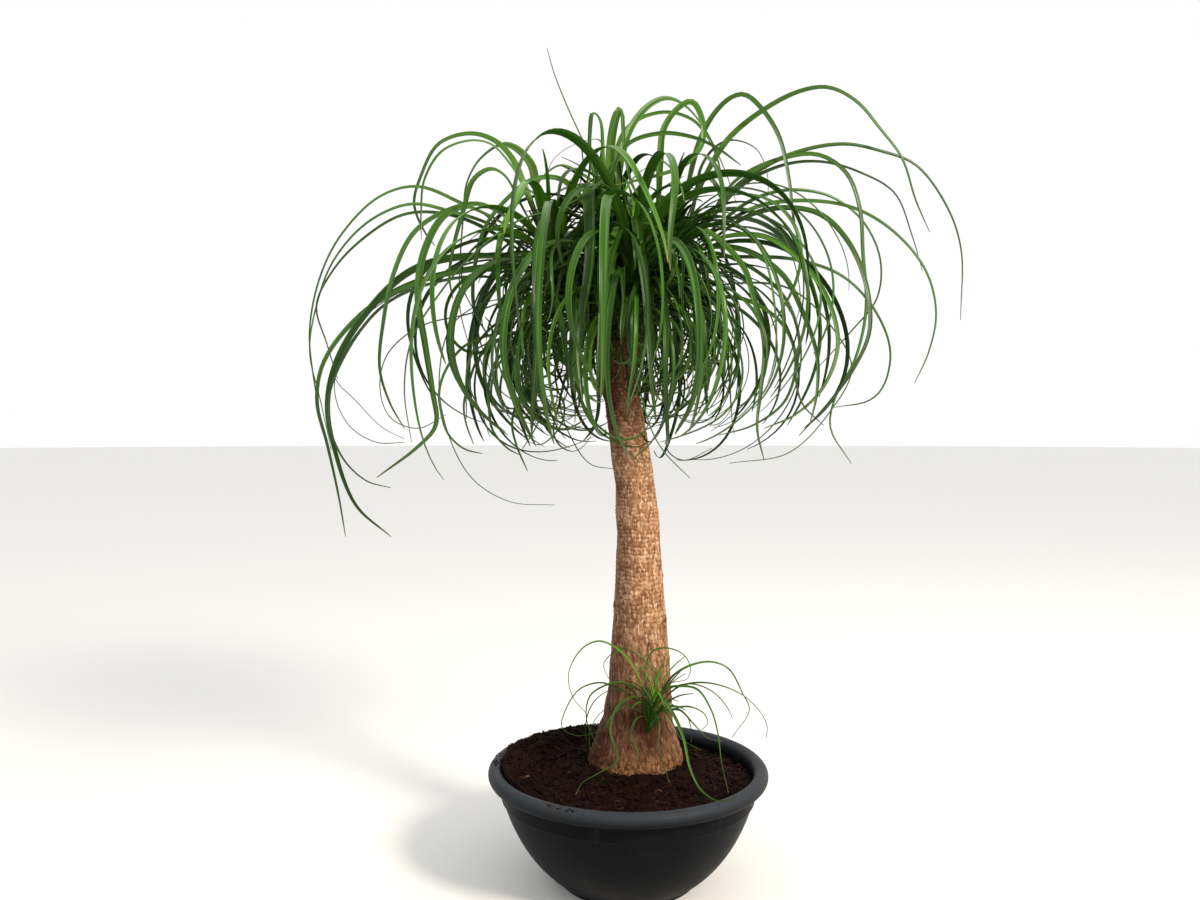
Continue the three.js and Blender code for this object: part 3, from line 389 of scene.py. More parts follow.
def noted_rib(root, rib, lean):
    """A smooth curve from the root through an outline, each point at its own depth on the line of sight."""
    points = [root]
    for i, (x, z) in enumerate(rib):
        depth = blend(root[1], lean, (i + 1) / len(rib))
        k = (VIEW_DISTANCE + depth) / VIEW_DISTANCE
        points.append((VIEW_SIDE + (x - VIEW_SIDE) * k, depth, VIEW_HEIGHT + (z - VIEW_HEIGHT) * k))
    points = np.array(points, float)
    reach = points[np.argmax(np.abs(points[:, 0] - root[0]))]
    turn = math.atan2(reach[1] - root[1], reach[0] - root[0])
    return even_points(points), np.tile([-math.sin(turn), math.cos(turn), 0.0], (RIB_STEPS + 1, 1))


def swept_rib(root, heading, swing, climb, length):
    """A course that climbs by a given angle at each step, and swings to one side."""
    turn = heading + swing * (np.arange(RIB_STEPS + 1) / RIB_STEPS) ** 2
    way = np.stack([np.cos(climb) * np.cos(turn[:-1]), np.cos(climb) * np.sin(turn[:-1]), np.sin(climb)], 1)
    points = np.vstack([root, root + np.cumsum(way * length / RIB_STEPS, axis=0)])
    return points, np.stack([-np.sin(turn), np.cos(turn), 0 * turn], 1)


def ruled_rib(root, heading, rise, fall, hold, swing, length):
    """Climbs, bends over and falls, and may curl back under itself."""
    s = np.arange(RIB_STEPS) / RIB_STEPS + 0.5 / RIB_STEPS
    climb = rise - fall * ((1 - hold) * s + hold * s * s * (3 - 2 * s))
    return swept_rib(root, heading, swing, climb, length)


def leaf_width(width, s, foot=0.45, least=1.6, power=0.6):
    taper = np.minimum(1, 1.18 * np.maximum(1 - s, 0) ** power)
    return np.maximum(least, width * taper * (foot + (1 - foot) * smooth(0, 0.16, s)))


def frames_along(course, roll, twist):
    """At each rib point, the way to the blade's edge and the way its upper side faces."""
    points, across = course
    steps = np.arange(RIB_STEPS + 1)
    along = unit(points[np.minimum(steps + 1, RIB_STEPS)] - points[np.maximum(steps - 1, 0)])
    flat = unit(across - along * dot(across, along)[:, None])
    s = steps / RIB_STEPS
    angle = (roll * smooth(0, 0.3, s) + twist * s)[:, None]
    side = flat * np.cos(angle) + np.cross(along, flat) * np.sin(angle)
    return side, np.cross(along, side)


def leaf_of(course, width, roll, twist, segments, **looks):
    """A leaf's course, and a row for each of its straight stretches. A row has the ends at 0 and 3, the
    frames there at 6 to 17, the half sizes at 18 to 21, and at 22 to 24 the radius of a round stretch, the
    owner and the step."""
    side, face = frames_along(course, roll, twist)
    steps = np.round(np.arange(segments + 1) * RIB_STEPS / segments).astype(int)
    wide = leaf_width(width, steps / RIB_STEPS)
    sizes = np.stack([wide / 2, np.maximum(THINNEST, 0.17 * wide)], 1)
    at, ends = course[0][steps], [side[steps], face[steps]]
    rows = np.hstack([
        at[:-1], at[1:], ends[0][:-1], ends[1][:-1], ends[0][1:], ends[1][1:], sizes[:-1], sizes[1:],
        np.zeros((segments, 2)), np.arange(segments)[:, None],
    ])
    return {"rib": course[0], "side": side, "face": face, "width": width, "rows": rows, "at": at, **looks}


def reach_of(rows, way):
    """How far each stretch's own body reaches in a direction."""
    def half(frame_at, size_at):
        return np.abs(dot(way, rows[..., frame_at:frame_at + 3])) * rows[..., size_at]

    start, end = half(6, 18) + half(9, 19), half(12, 20) + half(15, 21)
    return np.where(rows[..., 22] > 0, rows[..., 22], np.maximum(start, end))


def touches(rows, owner):
    """How often a leaf comes too near to its own node's leaves, and to anything else."""
    mine, theirs = rows[:, None], standing[None]
    u, v = (ends[..., 3:6] - ends[..., :3] for ends in (mine, theirs))
    w = mine[..., :3] - theirs[..., :3]
    uu, uv, vv, uw, vw = dot(u, u), dot(u, v), dot(v, v), dot(u, w), dot(v, w)
    area = uu * vv - uv * uv
    s = np.where(area > 1e-9, np.clip((uv * vw - vv * uw) / np.maximum(area, 1e-9), 0, 1), 0)
    t = (uv * s + vw) / vv
    inside = (t >= 0) & (t <= 1)
    t = np.clip(t, 0, 1)
    s = np.where(inside, s, np.clip((uv * t - uw) / uu, 0, 1))
    way = w + u * s[..., None] - v * t[..., None]
    gap = np.linalg.norm(way, axis=-1)
    way = unit(way)
    near = gap <= reach_of(mine, way) + reach_of(theirs, way) + LEAF_SPACE
    same = theirs[..., 23] == owner
    at_root = (mine[..., 24] == 0) | (theirs[..., 24] == 0)
    return int((near & same & ~at_root).sum()), int((near & ~same).sum())


def clears_ground(at):
    """Keeps off the peat and the pot's lip."""
    reach = np.hypot(at[:, 0], at[:, 1])
    ground = np.where(reach > PEAT_EDGE - 12, POT_HEIGHT, peat_height(at[:, 0], at[:, 1])) + 3
    return bool((at[:, 2] > np.where(reach > POT_RADIUS + 8, 0, ground)).all())


def swung(turn):
    """To one side and the other, ever further: 0, -1, 1, -2, 2 and so on."""
    return math.ceil(turn / 2) * (1 if turn % 2 == 0 else -1)


def settle(variant, owner):
    """Tries a leaf in turned, leaned or shortened variants until it stands clear."""
    global standing
    best, fewest = None, math.inf
    for turn in range(TURNS):
        leaf = variant(turn)
        own, other = touches(leaf["rows"], owner)
        if other == 0 and own < fewest and clears_ground(leaf["at"]):
            best, fewest = leaf, own
        if fewest == 0:
            break
    if best:
        best["rows"][:, 23] = owner
        standing = np.vstack([standing, best["rows"]])
    return best


def stem_place(shoot, share):
    return shoot["foot"] + shoot["way"] * shoot["length"] * share


def tilt_of(shoot, heading):
    """How far the stem leans towards a heading."""
    way = shoot["way"]
    return math.acos(way[2]) * math.cos(heading - math.atan2(way[1], way[0]))


def noted_leaf(shoot, at, width, lean, roll, rib):
    root = stem_place(shoot, 0.2 + 0.76 * at)
    twist = draw(-0.3, 0.3)

    def variant(turn):
        course = noted_rib(root, rib, lean + 9 * swung(turn))
        return leaf_of(course, width, roll, twist, NOTED_SEGMENTS, age=at, noted=True)

    return settle(variant, shoot["owner"])


def ruled_leaf(shoot, age, phase):
    """Low ones are old, narrow and curl under. High ones are young, stand up and arch."""
    root = stem_place(shoot, 0.2 + 0.76 * age)
    heading = phase + draw(-0.15, 0.15)
    rise = math.radians(blend(28, 78, age) + draw(-8, 8)) - 0.55 * tilt_of(shoot, heading)
    fall = math.radians(blend(232, 168, age) + draw(-20, 20))
    length = blend(335, 610, smooth(-0.1, 0.8, age)) * (1 - 0.42 * smooth(0.7, 1, age)) * draw(0.86, 1.1)
    width = blend(7.5, 12, smooth(0, 0.6, age)) * draw(0.85, 1.1)
    hold, swing, roll, twist = draw(-0.1, 0.55), draw(-0.5, 0.5), draw(-0.45, 0.45), draw(-0.6, 0.6)

    def variant(turn):
        aim, climb = heading + 0.08 * swung(turn), rise + 0.06 * (turn % 3 - 1)
        course = ruled_rib(root, aim, climb, fall, hold, swing, length * (1 - 0.012 * turn))
        return leaf_of(course, width, roll, twist, RULE_SEGMENTS, age=age, noted=False)

    return settle(variant, shoot["owner"])


def ruled_basal_leaf(shoot, age, phase):
    root = stem_place(shoot, 0.3 + 0.6 * age)
    heading, rise, length = phase + draw(-0.2, 0.2), draw(0.5, 1.2), draw(110, 170)

    def variant(turn):
        course = ruled_rib(root, heading + 0.08 * swung(turn), rise, 2.4, 0.2, 0, length)
        return leaf_of(course, 4, 0.2, 0, RULE_SEGMENTS, age=age, noted=False)

    return settle(variant, shoot["owner"])


def grow_plant():
    """Every leaf that the solids have, at the same place."""
    global standing
    rounds = []
    for height in range(FOOT_TOP, TRUNK_TOP - 6, 20):
        radius, shift = trunk_at(height)
        _, next_shift = trunk_at(height + 20)
        rounds.append((shift, 0, height, next_shift, 0, height + 20, radius + 2.5, -1))
    shoots = []
    for owner, (name, foot, top, plug, count, phase) in enumerate(HEADS):
        foot = np.array(foot, float)
        length = float(np.linalg.norm(np.array(top) - foot))
        shoot = {
            "name": name, "foot": foot, "way": (np.array(top) - foot) / length, "length": length,
            "plug": plug, "count": count, "phase": phase, "owner": owner, "leaves": [],
        }
        rounds.append((*stem_place(shoot, 8 / length), *stem_place(shoot, 1), plug * 1.5, owner))
        shoots.append(shoot)
    standing = np.zeros((len(rounds), 25))
    for row, (*ends, radius, owner) in zip(standing, rounds):
        row[:6], row[22], row[23] = ends, radius, owner
    noted = [LEFT_LEAVES, FRONT_LEAVES, BACK_LEAVES, RIGHT_LEAVES, BASAL_LEAVES]
    for shoot, leaves in zip(shoots, noted):
        shoot["leaves"] += [noted_leaf(shoot, *leaf) for leaf in leaves]
    for i in range(max(shoot["count"] for shoot in shoots)):
        for shoot in shoots:
            if i < shoot["count"]:
                rule = ruled_basal_leaf if shoot["name"] == "basal_shoot" else ruled_leaf
                leaf = rule(shoot, (i + 0.5) / shoot["count"], shoot["phase"] + i * GOLDEN_ANGLE)
                shoot["leaves"].append(leaf)
    for shoot in shoots:
        shoot["leaves"] = [leaf for leaf in shoot["leaves"] if leaf]
    return shoots


# Materials.

def linear(hex_colour):
    """An sRGB hex colour as linear red, green, blue and alpha."""
    parts = [int(hex_colour[i:i + 2], 16) / 255 for i in (1, 3, 5)]
    return [c / 12.92 if c <= 0.04045 else ((c + 0.055) / 1.055) ** 2.4 for c in parts] + [1.0]


def empty_material(name):
    material = bpy.data.materials.new(name)
    material.use_nodes = True
    material.node_tree.nodes.clear()
    return material, material.node_tree


def add(tree, kind, inputs=None, stops=(), **settings):
    """Adds a node with its settings, its inputs (each a value, hex colour or link) and its colour stops."""
    made = tree.nodes.new("ShaderNode" + kind)
    for name, value in settings.items():
        setattr(made, name, value)
    for socket, value in (inputs or {}).items():
        if isinstance(value, bpy.types.Node):
            value = next(output for output in value.outputs if output.enabled)
        if isinstance(value, bpy.types.NodeSocket):
            tree.links.new(value, made.inputs[socket])
        else:
            made.inputs[socket].default_value = linear(value) if isinstance(value, str) else value
    for i, (position, colour) in enumerate(stops):
        element = made.color_ramp.elements[i] if i < 2 else made.color_ramp.elements.new(position)
        element.position, element.color = position, linear(colour)
    return made


# A Map Range node's sockets are 0 for the value, 1 and 2 for its range, and 3 and 4 for the result's range.
# A Mix node's colours are sockets 6 and 7.
TINT = {"data_type": "RGBA", "blend_type": "MULTIPLY"}
COVER = {"data_type": "RGBA", "blend_type": "MIX"}

# What each vertex of a leaf and of the bark carries for its material.
LEAF_LAYERS = ("along", "vein", "tone", "youth", "under")
BARK_LAYERS = ("groove", "low", "shade", "fringe", "girth", "row")


def leaf_material():
    """Living strap leaf: a smooth waxy skin over parallel veins. It gives a satin sheen, and pale and dark
    streaks 3 mm wide along the blade. Real veins are under 1 mm apart. Here they are 2 mm apart, so that
    they show."""
    material, tree = empty_material("living_strap_leaf")
    along, vein, tone, youth, under = (add(tree, "Attribute", attribute_name=name) for name in LEAF_LAYERS)
    # Just above a leaf's pale foot the green dips darker: painted shade inside the crown.
    grown = add(tree, "ValToRGB", {0: along}, [
        (0.0, "#66742d"), (0.05, "#375317"), (0.2, "#3e6519"), (0.5, "#3b6319"), (0.85, "#345717"),
        (0.965, "#3f531a"), (1.0, "#66602f"),
    ])
    young = add(tree, "ValToRGB", {0: along}, [
        (0.0, "#bcc95c"), (0.12, "#94ba36"), (0.4, "#6ba028"), (0.8, "#508622"), (0.97, "#5f7c2c"),
        (1.0, "#8a7f4c"),
    ])
    dull = add(tree, "MapRange", {0: tone, 3: 1.0, 4: 0.0})
    place = add(tree, "TexCoord").outputs["Object"]
    patches = add(tree, "TexNoise", {"Vector": place, "Scale": 22.0, "Detail": 3.0})
    sunned = add(tree, "MapRange", {0: patches, 1: 0.35, 2: 0.7, 3: 0.0, 4: 0.5})
    lanes = add(tree, "CombineXYZ", {
        axis: add(tree, "Math", {0: way, 1: times}, operation="MULTIPLY")
        for axis, (way, times) in enumerate([(vein, 0.3), (along, 2.5), (tone, 60.0)])
    })
    streaks = add(tree, "TexNoise", {"Vector": lanes, "Scale": 1.0, "Detail": 3.0})
    dark_streak = add(tree, "MapRange", {0: streaks, 1: 0.36, 2: 0.5, 3: 0.5, 4: 0.0})
    pale_streak = add(tree, "MapRange", {0: streaks, 1: 0.51, 2: 0.66, 3: 0.0, 4: 0.32})
    wave = add(tree, "Math", {0: add(tree, "Math", {0: vein, 1: math.pi}, operation="MULTIPLY")},
               operation="COSINE")
    groove = add(tree, "MapRange", {0: wave, 1: -1.0, 2: 1.0, 3: 0.0, 4: 0.14})
    green = grown
    # Below, the under tint makes undersides a darker green. This is partly their duller skin and partly
    # painted shade under the arches.
    for share, paint, mixing in (
        (youth, young, COVER), (dull, "#93a180", TINT), (sunned, "#d6dca0", TINT),
        (dark_streak, "#8fa777", TINT), (pale_streak, "#6a9f43", COVER), (groove, "#aebf8c", TINT),
        (under, "#aac97f", TINT),
    ):
        green = add(tree, "Mix", {0: share, 6: green, 7: paint}, **mixing)
    bump = add(tree, "Bump", {"Strength": 0.2, "Distance": 0.0004, "Height": wave})
    satin = add(tree, "MapRange", {0: patches, 1: 0.3, 2: 0.7, 3: 0.22, 4: 0.36})
    rough = add(tree, "Math", {0: under, 1: 0.3, 2: satin}, operation="MULTIPLY_ADD")
    shader = add(tree, "BsdfPrincipled", {
        "Base Color": green, "Roughness": rough, "IOR": 1.4, "Specular IOR Level": 0.3, "Normal": bump,
    })
    add(tree, "OutputMaterial", {0: shader})
    return material


def bark_material():
    """Ponytail palm bark: a thin dry cork, matt, ringed by old leaf scars and breaking into small plates
    between them. The plates are 3 mm wide, and as high as the scars are apart."""
    material, tree = empty_material("ringed_cork_bark")
    groove, low, shade, fringe, girth, row = (
        add(tree, "Attribute", attribute_name=name) for name in BARK_LAYERS
    )
    place = add(tree, "TexCoord").outputs["Object"]
    column = add(tree, "Math", {0: girth, 1: 1 / PLATE_WIDTH}, operation="MULTIPLY")
    cells = {"Vector": add(tree, "CombineXYZ", {0: column, 1: row}), "Scale": 1.0, "Randomness": 0.6}
    plates = add(tree, "TexVoronoi", cells, voronoi_dimensions="2D")
    edges = add(tree, "TexVoronoi", cells, voronoi_dimensions="2D", feature="DISTANCE_TO_EDGE")
    dice = add(tree, "SeparateColor", {0: plates.outputs["Color"]})
    fibres, strips, flakes = (
        add(tree, "TexNoise", {
            "Vector": add(tree, "Mapping", {0: place, "Scale": scale}), "Scale": 1.0, "Detail": detail,
            "Roughness": grit,
        })
        for scale, detail, grit in (
            ((620.0, 620.0, 150.0), 5.0, 0.65), ((210.0, 210.0, 50.0), 3.0, 0.5),
            ((330.0, 330.0, 190.0), 3.0, 0.5),
        )
    )
    blotches = add(tree, "TexNoise", {"Vector": place, "Scale": 30.0, "Detail": 5.0, "Roughness": 0.6})
    colour = add(tree, "ValToRGB", {0: blotches}, [(0.3, "#8f694b"), (0.5, "#ad8460"), (0.7, "#bf9871")])
    roots = add(tree, "ValToRGB", {0: flakes}, [(0.36, "#3b2516"), (0.5, "#805834"), (0.63, "#b58654")])
    dark_plate = add(tree, "MapRange", {0: dice, 1: 0.0, 2: 0.45, 3: 0.7, 4: 0.0})
    grain = add(tree, "MapRange", {0: fibres, 1: 0.45, 2: 0.62, 3: 0.0, 4: 0.7})
    scar = add(tree, "MapRange", {0: groove, 3: 0.8, 4: 0.0})
    # Pale plates and the cracks fade towards the foot, and strips show only there.
    pale_plate, crack, strip = (
        add(tree, "Math", {0: mark, 1: strength}, operation="MULTIPLY") for mark, strength in (
            (add(tree, "MapRange", {0: dice, 1: 0.56, 2: 1.0, 3: 0.0, 4: 0.66}),
             add(tree, "MapRange", {0: low, 3: 1.0, 4: 0.45})),
            (add(tree, "MapRange", {0: edges, 1: 0.0, 2: 0.14, 3: 0.5, 4: 0.0}),
             add(tree, "MapRange", {0: low, 3: 1.0, 4: 0.4})),
            (add(tree, "MapRange", {0: strips, 1: 0.42, 2: 0.56, 3: 0.0, 4: 0.5}), low),
        )
    )
    # The shade layer's tint is mostly painted shade: on the left, under the crown, by the basal shoot and
    # low on the foot. It also holds real mottling and the knots' scabs.
    for share, paint, mixing in (
        (pale_plate, "#e6c6a1", COVER), (dark_plate, "#b39378", TINT), (crack, "#8a654e", TINT),
        (grain, "#a68670", TINT), (strip, "#8c6a52", TINT), (fringe, roots, COVER), (scar, "#8c6650", TINT),
        (shade, "#7d5f4b", TINT),
    ):
        colour = add(tree, "Mix", {0: share, 6: colour, 7: paint}, **mixing)
    raised = add(tree, "MapRange", {0: edges, 1: 0.0, 2: 0.2, 3: 0.0, 4: 0.5})
    height = add(tree, "Math", {0: fibres, 1: raised}, operation="ADD")
    bump = add(tree, "Bump", {"Strength": 0.55, "Distance": 0.0006, "Height": height})
    shader = add(tree, "BsdfPrincipled", {
        "Base Color": colour, "Roughness": 0.8, "Specular IOR Level": 0.2, "Normal": bump,
    })
    add(tree, "OutputMaterial", {0: shader})
    return material


def peat_material():
    """Moist milled peat: crumbly, matt and nearly black, with red-brown specks of wood."""
    material, tree = empty_material("milled_peat")
    place = add(tree, "TexCoord").outputs["Object"]
    lumps = add(tree, "TexNoise", {"Vector": place, "Scale": 90.0, "Detail": 6.0, "Roughness": 0.7})
    grit = add(tree, "TexNoise", {"Vector": place, "Scale": 420.0, "Detail": 3.0})
    colour = add(tree, "ValToRGB", {0: lumps}, [
        (0.3, "#0a0503"), (0.5, "#150a07"), (0.66, "#24110a"), (0.8, "#3b1e13"),
    ])
    speck = add(tree, "MapRange", {0: grit, 1: 0.62, 2: 0.72, 3: 0.0, 4: 0.4})
    colour = add(tree, "Mix", {0: speck, 6: colour, 7: "#502b1b"}, **COVER)
    bump = add(tree, "Bump", {"Strength": 0.9, "Distance": 0.0015, "Height": grit})
    shader = add(tree, "BsdfPrincipled", {
        "Base Color": colour, "Roughness": 0.9, "Specular IOR Level": 0.05, "Normal": bump,
    })
    add(tree, "OutputMaterial", {0: shader})
    return material


def chip_material():
    """Shredded wood: dry split fibres, from dark to orange brown."""
    material, tree = empty_material("shredded_wood")
    tone = add(tree, "Attribute", attribute_name="tone")
    place = add(tree, "TexCoord").outputs["Object"]
    grain = add(tree, "TexNoise", {"Vector": place, "Scale": 300.0, "Detail": 3.0})
    colour = add(tree, "ValToRGB", {0: tone}, [
        (0.0, "#160b07"), (0.6, "#23120c"), (0.88, "#3c2217"), (0.97, "#5c3725"), (1.0, "#745037"),
    ])
    dark = add(tree, "MapRange", {0: grain, 4: 0.6})
    colour = add(tree, "Mix", {0: dark, 6: colour, 7: "#8a7468"}, **TINT)
    shader = add(tree, "BsdfPrincipled", {
        "Base Color": colour, "Roughness": 0.85, "Specular IOR Level": 0.1,
    })
    add(tree, "OutputMaterial", {0: shader})
    return material


def plastic_material():
    """Charcoal polypropylene, injection moulded: a fine eroded skin gives a soft, broad highlight. Handling
    leaves faint scuffs, and peat dust dulls it in patches. The lip's top is painted paler by height, partly
    as dust and partly as a painted highlight, and it is smeared with peat. The skin's grain is drawn at 1
    mm, so that it shows."""
    material, tree = empty_material("moulded_polypropylene")
    place = add(tree, "TexCoord").outputs["Object"]
    skin = add(tree, "TexNoise", {"Vector": place, "Scale": 900.0, "Detail": 2.0})
    dust = add(tree, "TexNoise", {"Vector": place, "Scale": 14.0, "Detail": 6.0, "Roughness": 0.65})
    smears = add(tree, "TexNoise", {"Vector": place, "Scale": 38.0, "Detail": 7.0, "Roughness": 0.75})
    scuffs = add(tree, "TexNoise", {
        "Vector": add(tree, "Mapping", {0: place, "Scale": (60.0, 60.0, 9.0)}), "Scale": 1.0, "Detail": 5.0,
    })
    colour = add(tree, "ValToRGB", {0: dust}, [(0.3, "#07080b"), (0.6, "#0a0c0f"), (0.8, "#131619")])
    worn = add(tree, "MapRange", {0: scuffs, 1: 0.62, 2: 0.76, 3: 0.0, 4: 0.12})
    height = add(tree, "SeparateXYZ", {0: place}).outputs[2]
    lip_foot, lip_crown = ((POT_HEIGHT - share * LIP_RADIUS) * MM for share in (1.6, 0.2))
    # The lip's top is painted paler by height: partly settled dust, partly a painted highlight.
    lip_dust_and_highlight = add(tree, "MapRange", {0: height, 1: lip_foot, 2: lip_crown, 3: 0.0, 4: 0.7})
    smear = add(tree, "MapRange", {0: smears, 1: 0.5, 2: 0.66, 3: 0.0, 4: 0.7})
    smear = add(tree, "Math", {0: smear, 1: lip_dust_and_highlight}, operation="MULTIPLY")
    for share, paint in ((worn, "#3a3d3f"), (lip_dust_and_highlight, "#3b4045"), (smear, "#33261f")):
        colour = add(tree, "Mix", {0: share, 6: colour, 7: paint}, **COVER)
    rough = add(tree, "MapRange", {0: dust, 1: 0.3, 2: 0.75, 3: 0.38, 4: 0.55})
    bump = add(tree, "Bump", {"Strength": 0.25, "Distance": 0.0003, "Height": skin})
    shader = add(tree, "BsdfPrincipled", {
        "Base Color": colour, "Roughness": rough, "IOR": 1.49, "Specular IOR Level": 0.05, "Normal": bump,
    })
    add(tree, "OutputMaterial", {0: shader})
    return material


def board_material():
    """Studio board with matt off-white paint."""
    material, tree = empty_material("painted_studio_board")
    shader = add(tree, "BsdfPrincipled", {
        "Base Color": "#eae9e6", "Roughness": 0.95, "Specular IOR Level": 0.1,
    })
    add(tree, "OutputMaterial", {0: shader})
    return material


# Helpers for meshes.

def mesh_of(bm, name):
    """Ends a bmesh, and gives its mesh."""
    mesh = bpy.data.meshes.new(name)
    bm.to_mesh(mesh)
    bm.free()
    return mesh


def put_in(name, data):
    """A new object in the scene."""
    made = bpy.data.objects.new(name, data)
    bpy.context.scene.collection.objects.link(made)
    return made


def finished(bm, name, material, slot, *nodes, sharp=None):
    """Turns a bmesh in millimetres to a piece in metres that rides on the root and stands for solids."""
    bmesh.ops.scale(bm, vec=(MM, MM, MM), verts=bm.verts)
    mesh = mesh_of(bm, name)
    mesh.shade_smooth()
    if sharp:
        mesh.set_sharp_from_angle(angle=math.radians(sharp))
    mesh.materials.append(material)
    piece = put_in(name, mesh)
    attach(piece, "root")
    if nodes:
        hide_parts(*nodes)
    return piece


def turned(bm, profile, sides):
    """Spins a profile of (radius, height), which starts and ends on the axis, into a closed body."""
    verts = [bm.verts.new((radius, 0, height)) for radius, height in profile]
    edges = [bm.edges.new(pair) for pair in zip(verts, verts[1:])]
    bmesh.ops.spin(bm, geom=verts + edges, cent=(0, 0, 0), axis=(0, 0, 1), dvec=(0, 0, 0),
                   angle=2 * math.pi, steps=sides, use_merge=True)
    bmesh.ops.remove_doubles(bm, verts=bm.verts, dist=0.001)
    bmesh.ops.recalc_face_normals(bm, faces=bm.faces)


def places_of(bm):
    return np.array([vert.co for vert in bm.verts], float)


def move_to(verts, places):
    for vert, place in zip(verts, places):
        vert.co = place


def set_values(verts, layers, values):
    """Sets the same value, or each its own, in each named layer of these vertices."""
    for layer, value in zip(layers, values):
        for vert, own in zip(verts, np.broadcast_to(value, len(verts))):
            vert[layer] = own


def noise_at(places, size, offset=0.0):
    """Smooth noise at each place, with bumps of about that size."""
    shift = Vector((offset, offset, offset))
    return np.array([noise.noise(Vector(place) / size + shift) for place in places])


# Pot.

def bowl_wall(inset, lift, steps):
    """Points of the bowl's wall, from its heel up to its shoulder."""
    corners = (BOWL_HEEL, BOWL_BEND, BOWL_SHOULDER)
    heel, bend, shoulder = (np.array(corner, float) + (-inset, lift) for corner in corners)
    t = np.linspace(0, 1, steps + 1)[:, None]
    return [tuple(spot) for spot in (1 - t) ** 2 * heel + 2 * t * (1 - t) * bend + t * t * shoulder]


def lip_arc(radius, start, end, steps):
    """Points round the rolled lip's middle, by the angle from its outer side."""
    return [(POT_RADIUS - LIP_RADIUS + radius * math.cos(math.radians(angle)),
             POT_HEIGHT - LIP_RADIUS + radius * math.sin(math.radians(angle)))
            for angle in np.linspace(start, end, steps + 1)]


def make_pot(material):
    """A thin moulded bowl with a step under its band and a hollow lip rolled outwards."""
    bm = bmesh.new()
    inner = BAND_RADIUS - WALL
    foot = [(0, 0), (BASE_RADIUS - 2, 0), (BASE_RADIUS, 0.8)]
    step = [(BOWL_SHOULDER[0] + 0.4, BAND_FOOT - 1.8), (BAND_RADIUS - 1.2, BAND_FOOT - 1.1),
            (BAND_RADIUS, BAND_FOOT + 0.2), (BAND_RADIUS + 0.2, BAND_FOOT + 3),
            (BAND_RADIUS + 0.6, BAND_FOOT + 13)]
    hollow = lip_arc(LIP_RADIUS - WALL, 190, -60, 14)
    roll = lip_arc(LIP_RADIUS, -66, 170, 30)
    inside = [(inner + 1.4, POT_HEIGHT - 13), (inner, POT_HEIGHT - 19), (inner, BAND_FOOT + 4),
              *reversed(bowl_wall(WALL, 2, 10)), (BASE_RADIUS - 7, FLOOR), (0, FLOOR)]
    turned(bm, [*foot, *bowl_wall(0, 0, 18), *step, *hollow, *roll, *inside], POT_SIDES)
    pot = finished(bm, "bowl_pot", material, "pot_plastic", "pot")

    drill = bmesh.new()
    for i in range(DRAIN_HOLES):
        angle = (i + 0.5) * 2 * math.pi / DRAIN_HOLES
        middle = (DRAIN_CIRCLE * math.cos(angle), DRAIN_CIRCLE * math.sin(angle), FLOOR / 2)
        bmesh.ops.create_cone(drill, cap_ends=True, segments=24, radius1=DRAIN_HOLE_RADIUS,
                              radius2=DRAIN_HOLE_RADIUS, depth=4 * FLOOR, matrix=Matrix.Translation(middle))
    bmesh.ops.scale(drill, vec=(MM, MM, MM), verts=drill.verts)
    holes = put_in("drain_holes", mesh_of(drill, "drain_holes"))
    cut = pot.modifiers.new("drain_holes", "BOOLEAN")
    cut.operation = "DIFFERENCE"
    cut.solver = "EXACT"
    cut.object = holes
    drilled = pot.evaluated_get(bpy.context.evaluated_depsgraph_get())
    pot.data = bpy.data.meshes.new_from_object(drilled)
    pot.modifiers.clear()
    bpy.data.objects.remove(holes)
    pot.data.set_sharp_from_angle(angle=math.radians(40))


# Peat.

def make_peat(material):
    """The fill: lumpy on top, leaning on the lip at the left, and spilling over it in a ragged tongue
    at the back left."""
    bm = bmesh.new()
    wall = bowl_wall(WALL + 2 * FIT_GAP, 2 + FIT_GAP, 8)
    rings = np.concatenate([np.linspace(PEAT_EDGE - 0.4, 60, 78), [40, 20, 0]])
    profile = [(0, FLOOR + FIT_GAP), (BASE_RADIUS - 6, FLOOR + FIT_GAP), *wall, (PEAT_EDGE, BAND_FOOT),
               (PEAT_EDGE, POT_HEIGHT - 25)]
    turned(bm, profile + [(float(radius), PEAT_HEIGHT) for radius in rings], PEAT_SIDES)
    places = places_of(bm)
    x, y, z = places.T
    level = np.stack([x, y, 0 * x], 1)
    lumps = sum(height * noise_at(level, size, offset) for height, size, offset in PEAT_LUMPS)
    top, reach = z > PEAT_HEIGHT - 1, np.hypot(x, y)
    places[:, 2] = np.where(top, peat_level(x, y) + lumps, z)
    ragged = noise_at(level, 9, 12) + 0.5 * noise_at(level, 4, 15)
    tongue = smooth(0.72, 0.95, (0.64 * y - 0.77 * x) / (reach + 1))
    push = heaped(x, y) * (3 + 1.5 * ragged) + tongue * (5 + 4 * ragged)
    places[:, :2] *= (1 + top * smooth(155, PEAT_EDGE - 1, reach) * push / PEAT_EDGE)[:, None]
    places[:, 2] -= top * 3 * tongue * smooth(170, PEAT_EDGE - 1, reach)
    move_to(bm.verts, places)
    finished(bm, "peat_fill", material, "peat", "soil")


def heaped(x, y):
    """How far a place is on the left, where the peat is heaped up: 0 to 1."""
    return smooth(0.1, 0.9, (y * 0.5 - x) / (np.hypot(x, y) + 1))


def peat_level(x, y):
    """The peat's surface, heaped a little higher against the lip on the left."""
    return peat_height(x, y) + PEAT_PILE * heaped(x, y) * smooth(120, 168, np.hypot(x, y))


def scattered(count):
    """Places on the peat, clear of the trunk's foot."""
    spots = []
    while len(spots) < count:
        angle, reach = draw(0, 2 * math.pi), (PEAT_EDGE - 3) * math.sqrt(draw(0.05, 1))
        x, y = reach * math.cos(angle), reach * math.sin(angle)
        if math.hypot(x - TRUNK[0, 2], y) > TRUNK[2, 1]:
            spots.append((x, y, float(peat_level(x, y))))
    return spots


